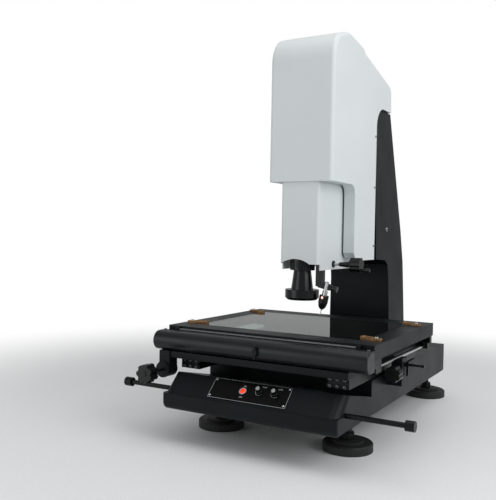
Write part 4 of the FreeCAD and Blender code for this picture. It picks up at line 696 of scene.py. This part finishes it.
def build_clips():
    """Put the four clips at the glass's corners, each turned as it was left, and their screws in them."""
    shank = 2.5 * MM
    glass_low, glass_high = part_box("glass_plate")
    middle = (glass_low[1] + glass_high[1]) / 2
    clips = []
    screws = []
    sample = None
    for (low, high), (screw_low, screw_high) in zip(solids("glass_clips"), solids("clip_screws")):
        size = high - low
        centre = (low + high) / 2
        if sample is None:
            sample = clip_model(size.x, size.y, size.z)
            sample.data.materials[0] = MATERIALS["copper"]
            head = screw(screw_high.x / 2 - screw_low.x / 2, screw_high.z - high.z, "slot",
                         shank, high.z - screw_low.z)
        corner = (math.copysign(1, centre.x), math.copysign(1, centre.y - middle))
        turn = Matrix.Rotation(math.radians(CLIP_TURNS[corner]), 4, "Z")
        clip = standing(sample, (centre.x, centre.y, low.z), (0, 0, 1))
        clip.matrix_world = Matrix.Translation((centre.x, centre.y, low.z)) @ turn
        clips.append(clip)
        reach = turn @ Vector(((screw_low.x + screw_high.x) / 2 - centre.x, 0, 0))
        screws.append(standing(head, Vector((centre.x, centre.y, high.z)) + reach, (0, 0, 1)))
    bpy.data.objects.remove(sample)
    bpy.data.objects.remove(head)
    settle(joined("clips_finished", clips), body_of_node("glass_clips"), None, SLOTS["glass_clips"],
           "glass_clips")
    settle(joined("clip_screws_finished", screws), body_of_node("clip_screws"), None,
           SLOTS["clip_screws"], "clip_screws")


class MACHINE_OT_optics(bpy.types.Operator):
    """Finish the lens, its lamp ring, the camera and the lamp under the glass"""
    bl_idname = "machine.optics"
    bl_label = "Optics"

    def execute(self, context):
        edge = context.scene.machine_finish.plate_edge
        for name in ("lens_bracket", "camera", "contour_lamp"):
            soft_edged(name, edge * 0.7, "anodised")
        for name in ("zoom_lens", "zoom_ring", "ring_light"):
            soft_edged(name, edge * 0.7, "gloss")
        coated("ring_diffuser", "opal")
        coated("front_element", "lens")
        coated("contour_lens", "lens")
        return {"FINISHED"}


class MACHINE_OT_probe(bpy.types.Operator):
    """Finish the touch probe, its clamp and stylus"""
    bl_idname = "machine.probe"
    bl_label = "Touch Probe"

    def execute(self, context):
        edge = context.scene.machine_finish.plate_edge
        soft_edged("probe_arm", edge * 0.6, "anodised")
        soft_edged("probe_body", edge, "plastic")
        soft_edged("probe_shank", edge * 0.6, "polished")
        soft_edged("probe_lock_knob", edge * 0.6, "plastic")
        low, high = (Vector(corner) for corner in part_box("probe_lamp"))
        radius = (high.x - low.x) / 2
        depth = high.y - low.y
        lamp = domed("probe_lamp_finished", radius, 0, depth, (
            (1, 1.8), (0.92, 1.1), (0.7, 0.45), (0.38, 0.1), (0.06, 0)), 32)
        lamp.matrix_world = (Matrix.Translation(((low.x + high.x) / 2, high.y, (low.z + high.z) / 2))
                             @ Matrix.Rotation(math.radians(90), 4, "X"))
        settle(lamp, body_of_node("probe_lamp"), "probe_lamp", SLOTS["probe_lamp"], "probe_lamp")
        coated("stylus", "polished")
        return {"FINISHED"}


class MACHINE_OT_handwheels(bpy.types.Operator):
    """Finish the handwheels, the crank grip and the levers"""
    bl_idname = "machine.handwheels"
    bl_label = "Handwheels and Levers"

    def execute(self, context):
        edge = context.scene.machine_finish.plate_edge
        for name in ("x_handwheel", "y_handwheel", "crank_grip"):
            soft_edged(name, edge * 2, "plastic", segments=3)
        wheel = soft_edged("z_handwheel", edge * 1.4, "plastic", segments=3)
        shaft_end = 80 * MM
        repaint(wheel, "polished", lambda centre, normal: centre.x < shaft_end)
        for name in ("x_lock_lever", "y_release_lever"):
            soft_edged(name, edge, "oxide")
        return {"FINISHED"}


# The control panel: places are to the right of its middle, and rises are up its slope
CONSOLE_SLOPE = 43
PANEL_HALF_THICKNESS = 1 * MM
BORDER_LENGTH = 223.4 * MM
BORDER_RISE = 60.4 * MM
BORDER_WIDTH = 1.1 * MM
BORDER_THICKNESS = 0.35 * MM
BUTTON_PLACE = -18 * MM
BUTTON_LENGTH = 15 * MM
KNOB_PLACES = (27 * MM, 71 * MM)
KNOB_RISE = 6.5 * MM
INK_THICKNESS = 0.05 * MM
# A knob from its shaft's end up: shaft, skirt, tapered grip and cap, as radii and heights in millimetres
KNOB_RINGS = ((3, -9), (3, 2.4), (8, 2.4), (8, 4.4), (7.3, 5.2), (6.7, 14.2), (6.1, 14.9), (5.4, 14.9),
              (5.3, 14.6), (4.9, 15.2), (0.4, 15.3))
KNOB_CAP_RADIUS = 5.5 * MM
KNOB_CAP_HEIGHT = 14.55 * MM


def panel_place():
    """The place of the panel's front face: X to the right, Y up the slope, Z out of it."""
    low, high = (Vector(corner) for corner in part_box("control_panel"))
    turn = Matrix.Rotation(math.radians(CONSOLE_SLOPE), 4, "X")
    return Matrix.Translation((low + high) / 2) @ turn @ Matrix.Translation((0, 0, PANEL_HALF_THICKNESS))


def on_panel(piece, panel, x, rise, out=0.0):
    piece.matrix_world = panel @ Matrix.Translation((x, rise, out)) @ piece.matrix_world
    return piece


def build_border(panel):
    """A thin bright strip folded round the panel's edge, of the bezel's polished metal."""
    deselect()
    bpy.ops.mesh.primitive_plane_add(size=1)
    strip = bpy.context.object
    strip.scale = (BORDER_LENGTH, BORDER_RISE, 1)
    bpy.ops.object.transform_apply(scale=True)
    bpy.ops.object.mode_set(mode="EDIT")
    bpy.ops.mesh.select_all(action="SELECT")
    bpy.ops.mesh.inset(thickness=BORDER_WIDTH)
    bpy.ops.mesh.delete(type="FACE")
    bpy.ops.mesh.select_all(action="SELECT")
    bpy.ops.mesh.extrude_region_move(TRANSFORM_OT_translate={"value": (0, 0, BORDER_THICKNESS)})
    bpy.ops.mesh.select_all(action="SELECT")
    bpy.ops.mesh.normals_make_consistent(inside=False)
    bpy.ops.object.mode_set(mode="OBJECT")
    strip.name = "panel_border"
    settle(on_panel(strip, panel, 0, 0), body_of_node("control_panel"), "polished", SLOTS["button_bezel"])


def build_button(panel):
    """The lit push button: a shallow dome in its bezel, on the stem that the solid has."""
    low, high = solids("power_button")[0]
    radius = (high.x - low.x) / 2
    slope = math.radians(CONSOLE_SLOPE)
    # its outer end stands this far out of the panel
    out = (high.z - panel.translation.z - radius * math.sin(slope)) / math.cos(slope)
    button = domed("power_button_finished", radius, out - BUTTON_LENGTH, out, (
        (1, 1.4), (0.93, 0.8), (0.75, 0.35), (0.4, 0.08), (0.05, 0)))
    settle(on_panel(button, panel, (low.x + high.x) / 2, 0), body_of_node("power_button"), "red_lamp",
           SLOTS["power_button"], "power_button")


def build_light_knob(name, panel):
    """A moulded knob: skirt, grip with flutes, bright cap with a pointer line, and its shaft."""
    low, high = solids(name)[0]
    x = (panel.inverted() @ ((low + high) / 2)).x
    knob = turned("knob", [(radius * MM, height * MM) for radius, height in KNOB_RINGS])
    knob.data.materials.append(MATERIALS["plastic"])
    flutes = 12
    flute_circle = 7.5 * MM
    flute_middle = 11 * MM
    for number in range(flutes):
        angle = math.radians(360 / flutes * number)
        bpy.ops.mesh.primitive_cylinder_add(
            vertices=10, radius=0.9 * MM, depth=12 * MM,
            location=(flute_circle * math.cos(angle), flute_circle * math.sin(angle), flute_middle))
        cut_by(knob, bpy.context.object)
    repaint(knob, "polished", lambda centre, normal: centre.z > KNOB_CAP_HEIGHT
            and centre.xy.length < KNOB_CAP_RADIUS)
    pointer_place = (0, 4.2 * MM, 15 * MM)
    pointer_size = (0.9 * MM, 3.4 * MM, 0.7 * MM)
    bpy.ops.mesh.primitive_cube_add(size=1, location=pointer_place, scale=pointer_size)
    pointer = bpy.context.object
    pointer.data.materials.append(MATERIALS["ink"])
    knob = joined(name + "_finished", [knob, pointer])
    activate(knob)
    bpy.ops.object.shade_smooth_by_angle(angle=math.radians(35))
    settle(on_panel(knob, panel, x, KNOB_RISE), body_of_node(name), None, SLOTS[name], name)


def flat_text(words, size):
    """Small letters as a mesh, centred on the origin."""
    deselect()
    bpy.ops.object.text_add()
    letters = bpy.context.object
    letters.data.body = words
    letters.data.size = size
    letters.data.align_x = "CENTER"
    letters.data.extrude = INK_THICKNESS
    activate(letters)
    bpy.ops.object.convert(target="MESH")
    return bpy.context.object


def arc_mark(radius, start, end):
    """A thin printed arc round the origin, from one angle to another in degrees."""
    deselect()
    bpy.ops.mesh.primitive_plane_add(size=1, location=(radius, 0, INK_THICKNESS))
    arc = bpy.context.object
    arc.scale = (0.8 * MM, 0.02 * MM, 1)
    bpy.ops.object.transform_apply(location=True, scale=True)
    arc.data.transform(Matrix.Rotation(math.radians(start), 4, "Z"))
    bpy.ops.object.mode_set(mode="EDIT")
    bpy.ops.mesh.select_all(action="SELECT")
    bpy.ops.mesh.spin(steps=18, angle=math.radians(start - end), center=(0, 0, 0), axis=(0, 0, 1))
    bpy.ops.mesh.select_all(action="SELECT")
    bpy.ops.mesh.remove_doubles(threshold=SAME_PLACE)
    bpy.ops.mesh.normals_make_consistent(inside=False)
    bpy.ops.object.mode_set(mode="OBJECT")
    return arc


def build_marks(panel):
    """Printed words above and below the button, and an arc round each knob."""
    marks = [on_panel(flat_text("ON", size=5.5 * MM), panel, x=BUTTON_PLACE, rise=14 * MM),
             on_panel(flat_text("OFF", size=5.5 * MM), panel, x=BUTTON_PLACE, rise=-19 * MM)]
    for x in KNOB_PLACES:
        marks.append(on_panel(arc_mark(radius=11 * MM, start=100, end=320), panel, x, KNOB_RISE))
        marks.append(on_panel(flat_text("LIGHT", size=4.6 * MM), panel, x + 10 * MM, rise=20 * MM))
    piece = joined("panel_marks", marks)
    settle(piece, body_of_node("control_panel"), "ink", SLOTS["control_panel"])


class MACHINE_OT_panel(bpy.types.Operator):
    """Finish the control panel, its button, knobs and screws"""
    bl_idname = "machine.panel"
    bl_label = "Control Panel"

    def execute(self, context):
        edge = context.scene.machine_finish.plate_edge
        soft_edged("control_panel", edge * 0.3, "panel")
        soft_edged("button_bezel", edge * 0.5, "polished")
        coated("knob_bushes", "polished")
        panel = panel_place()
        screws_for("panel_screws", lambda centre, size: panel.to_3x3().col[2], "slot", "polished",
                   head=1.4 * MM, shank=1.5 * MM, length=10.4 * MM)
        build_border(panel)
        build_button(panel)
        for name in ("light_knob_one", "light_knob_two"):
            build_light_knob(name, panel)
        build_marks(panel)
        return {"FINISHED"}


class MACHINE_OT_fasteners(bpy.types.Operator):
    """Finish the screws and bolts"""
    bl_idname = "machine.fasteners"
    bl_label = "Screws and Bolts"

    def execute(self, context):
        screws_for("carriage_screws", carriage_screw_axis, "hexagon", "zinc")
        screws_for("shell_screws", sideways, "hexagon", "polished")
        screws_for("head_bolts", sideways, "hexagon", "polished")
        return {"FINISHED"}


def sideways(centre, size):
    """Outward on the side where the screw is."""
    return (math.copysign(1, centre.x), 0, 0)


def carriage_screw_axis(centre, size):
    """The screws on the bars' ends face the front, those with the shortest size upright face up."""
    return (0, 0, 1) if size.z < size.y else (0, -1, 0)


class MACHINE_OT_feet(bpy.types.Operator):
    """Finish the rubber pads of the feet"""
    bl_idname = "machine.feet"
    bl_label = "Feet"

    def execute(self, context):
        soft_edged("foot_pads", context.scene.machine_finish.plate_edge * 3, "rubber", segments=3)
        return {"FINISHED"}


class MACHINE_OT_studio(bpy.types.Operator):
    """Set up the floor, the lights and the camera"""
    bl_idname = "machine.studio"
    bl_label = "Studio"

    def execute(self, context):
        settings = context.scene.machine_studio
        build_floor()
        build_world(settings.sky_strength)
        soft_light("key_light", place=(2.6, -0.6, 1.9), target=(0, 0, 0.55), size=2.2,
                   power=settings.key_power)
        soft_light("fill_light", place=(-1.4, -2.5, 0.8), target=(0, -0.2, 0.35), size=1.6,
                   power=settings.fill_power)
        soft_light("top_light", place=(0.2, -0.4, 3.2), target=(0, 0, 0.3), size=2.4,
                   power=settings.top_power)
        build_camera()
        context.scene.view_settings.view_transform = "Standard"
        return {"FINISHED"}


def build_floor():
    """A pale floor that keeps the machine's shadow near it and fades to white further out."""
    deselect()
    bpy.ops.mesh.primitive_plane_add(size=60, location=(0, 0, 0))
    floor = bpy.context.object
    floor.name = "studio_floor"
    material, tree, place = new_material("pale_studio_floor")
    distance = add_node(tree, "ShaderNodeVectorMath", {0: place}, operation="LENGTH")
    fade = add_node(tree, "ShaderNodeMapRange", {
        "Value": distance.outputs["Value"], "From Min": 0.9, "From Max": 2.2, "To Min": 0.0, "To Max": 1.0},
        interpolation_type="SMOOTHSTEP")
    matt = add_node(tree, "ShaderNodeBsdfPrincipled", {
        **mottled(tree, place, 6, 2, (linear("#E6E8E9"), linear("#EDEFF0"))), "Roughness": 0.8})
    white = add_node(tree, "ShaderNodeEmission", {"Color": (1, 1, 1, 1), "Strength": 1.0})
    mixed = add_node(tree, "ShaderNodeMixShader", {0: fade.outputs["Result"], 1: matt.outputs[0],
                                                   2: white.outputs[0]})
    ray = add_node(tree, "ShaderNodeLightPath")
    final = add_node(tree, "ShaderNodeMixShader", {0: ray.outputs["Is Camera Ray"], 1: matt.outputs[0],
                                                   2: mixed.outputs[0]})
    add_node(tree, "ShaderNodeOutputMaterial", {"Surface": final.outputs[0]})
    floor.data.materials.append(material)
    deselect()


def build_world(strength):
    """Even pale room light, seen as white by the camera only."""
    world = bpy.data.worlds.new("studio_world")
    world.use_nodes = True
    tree = world.node_tree
    tree.nodes.clear()
    ray = add_node(tree, "ShaderNodeLightPath")
    even = add_node(tree, "ShaderNodeBackground", {"Color": (1, 1, 1, 1), "Strength": strength})
    white = add_node(tree, "ShaderNodeBackground", {"Color": (1, 1, 1, 1), "Strength": 1.0})
    mixed = add_node(tree, "ShaderNodeMixShader", {0: ray.outputs["Is Camera Ray"], 1: even.outputs[0],
                                                   2: white.outputs[0]})
    add_node(tree, "ShaderNodeOutputWorld", {"Surface": mixed.outputs[0]})
    bpy.context.scene.world = world


def soft_light(name, place, target, size, power):
    data = bpy.data.lights.new(name, "AREA")
    data.shape = "SQUARE"
    data.size = size
    data.energy = power
    light = bpy.data.objects.new(name, data)
    bpy.context.scene.collection.objects.link(light)
    light.location = place
    aim = Vector(target) - Vector(place)
    light.rotation_euler = aim.to_track_quat("-Z", "Y").to_euler()


# The camera stands where the photograph was taken from: in metres, degrees and photo pixels
CAMERA_PLACE = (0.8465, -2.0264, 0.5565)
CAMERA_YAW, CAMERA_PITCH, CAMERA_ROLL = 30.11, -1.29, -1.07
FOCAL_PIXELS = 680.4
PRINCIPAL_POINT = (248.05, 249.41)


def build_camera():
    data = bpy.data.cameras.new("photo_camera")
    camera = bpy.data.objects.new("photo_camera", data)
    bpy.context.scene.collection.objects.link(camera)
    width, height = PHOTO_SIZE
    data.sensor_width = 36
    data.lens = FOCAL_PIXELS / max(PHOTO_SIZE) * data.sensor_width
    data.shift_x = (width / 2 - PRINCIPAL_POINT[0]) / max(PHOTO_SIZE)
    data.shift_y = (PRINCIPAL_POINT[1] - height / 2) / max(PHOTO_SIZE)
    turned = (Matrix.Rotation(math.radians(CAMERA_YAW), 4, "Z")
              @ Matrix.Rotation(math.radians(CAMERA_PITCH), 4, "X")
              @ Matrix.Rotation(math.radians(CAMERA_ROLL), 4, "Y")
              @ Matrix.Rotation(math.radians(90), 4, "X"))
    camera.matrix_world = Matrix.Translation(CAMERA_PLACE) @ turned
    bpy.context.scene.camera = camera


class MACHINE_PT_panel(bpy.types.Panel):
    """Lists the steps that finish the machine"""
    bl_idname = "MACHINE_PT_panel"
    bl_label = "Measuring Machine"
    bl_space_type = "VIEW_3D"
    bl_region_type = "UI"
    bl_category = "Measuring Machine"

    def draw(self, context):
        column = self.layout.column()
        for group in (context.scene.machine_finish, context.scene.machine_studio):
            for name in group.__annotations__:
                column.prop(group, name)
        for operator in OPERATORS:
            column.operator(operator.bl_idname)


OPERATORS = (
    MACHINE_OT_castings,
    MACHINE_OT_ways,
    MACHINE_OT_covers,
    MACHINE_OT_table,
    MACHINE_OT_optics,
    MACHINE_OT_probe,
    MACHINE_OT_handwheels,
    MACHINE_OT_panel,
    MACHINE_OT_fasteners,
    MACHINE_OT_feet,
    MACHINE_OT_studio,
)
CLASSES = (FinishSettings, StudioSettings, *OPERATORS, MACHINE_PT_panel)


def register():
    for item in CLASSES:
        bpy.utils.register_class(item)
    bpy.types.Scene.machine_finish = PointerProperty(type=FinishSettings)
    bpy.types.Scene.machine_studio = PointerProperty(type=StudioSettings)


def unregister():
    del bpy.types.Scene.machine_studio
    del bpy.types.Scene.machine_finish
    for item in reversed(CLASSES):
        bpy.utils.unregister_class(item)


def main():
    register()
    build_materials()
    bpy.ops.machine.castings()
    bpy.ops.machine.ways()
    bpy.ops.machine.covers()
    bpy.ops.machine.table()
    bpy.ops.machine.optics()
    bpy.ops.machine.probe()
    bpy.ops.machine.handwheels()
    bpy.ops.machine.panel()
    bpy.ops.machine.fasteners()
    bpy.ops.machine.feet()
    bpy.ops.machine.studio()


if __name__ == "__main__":
    main()
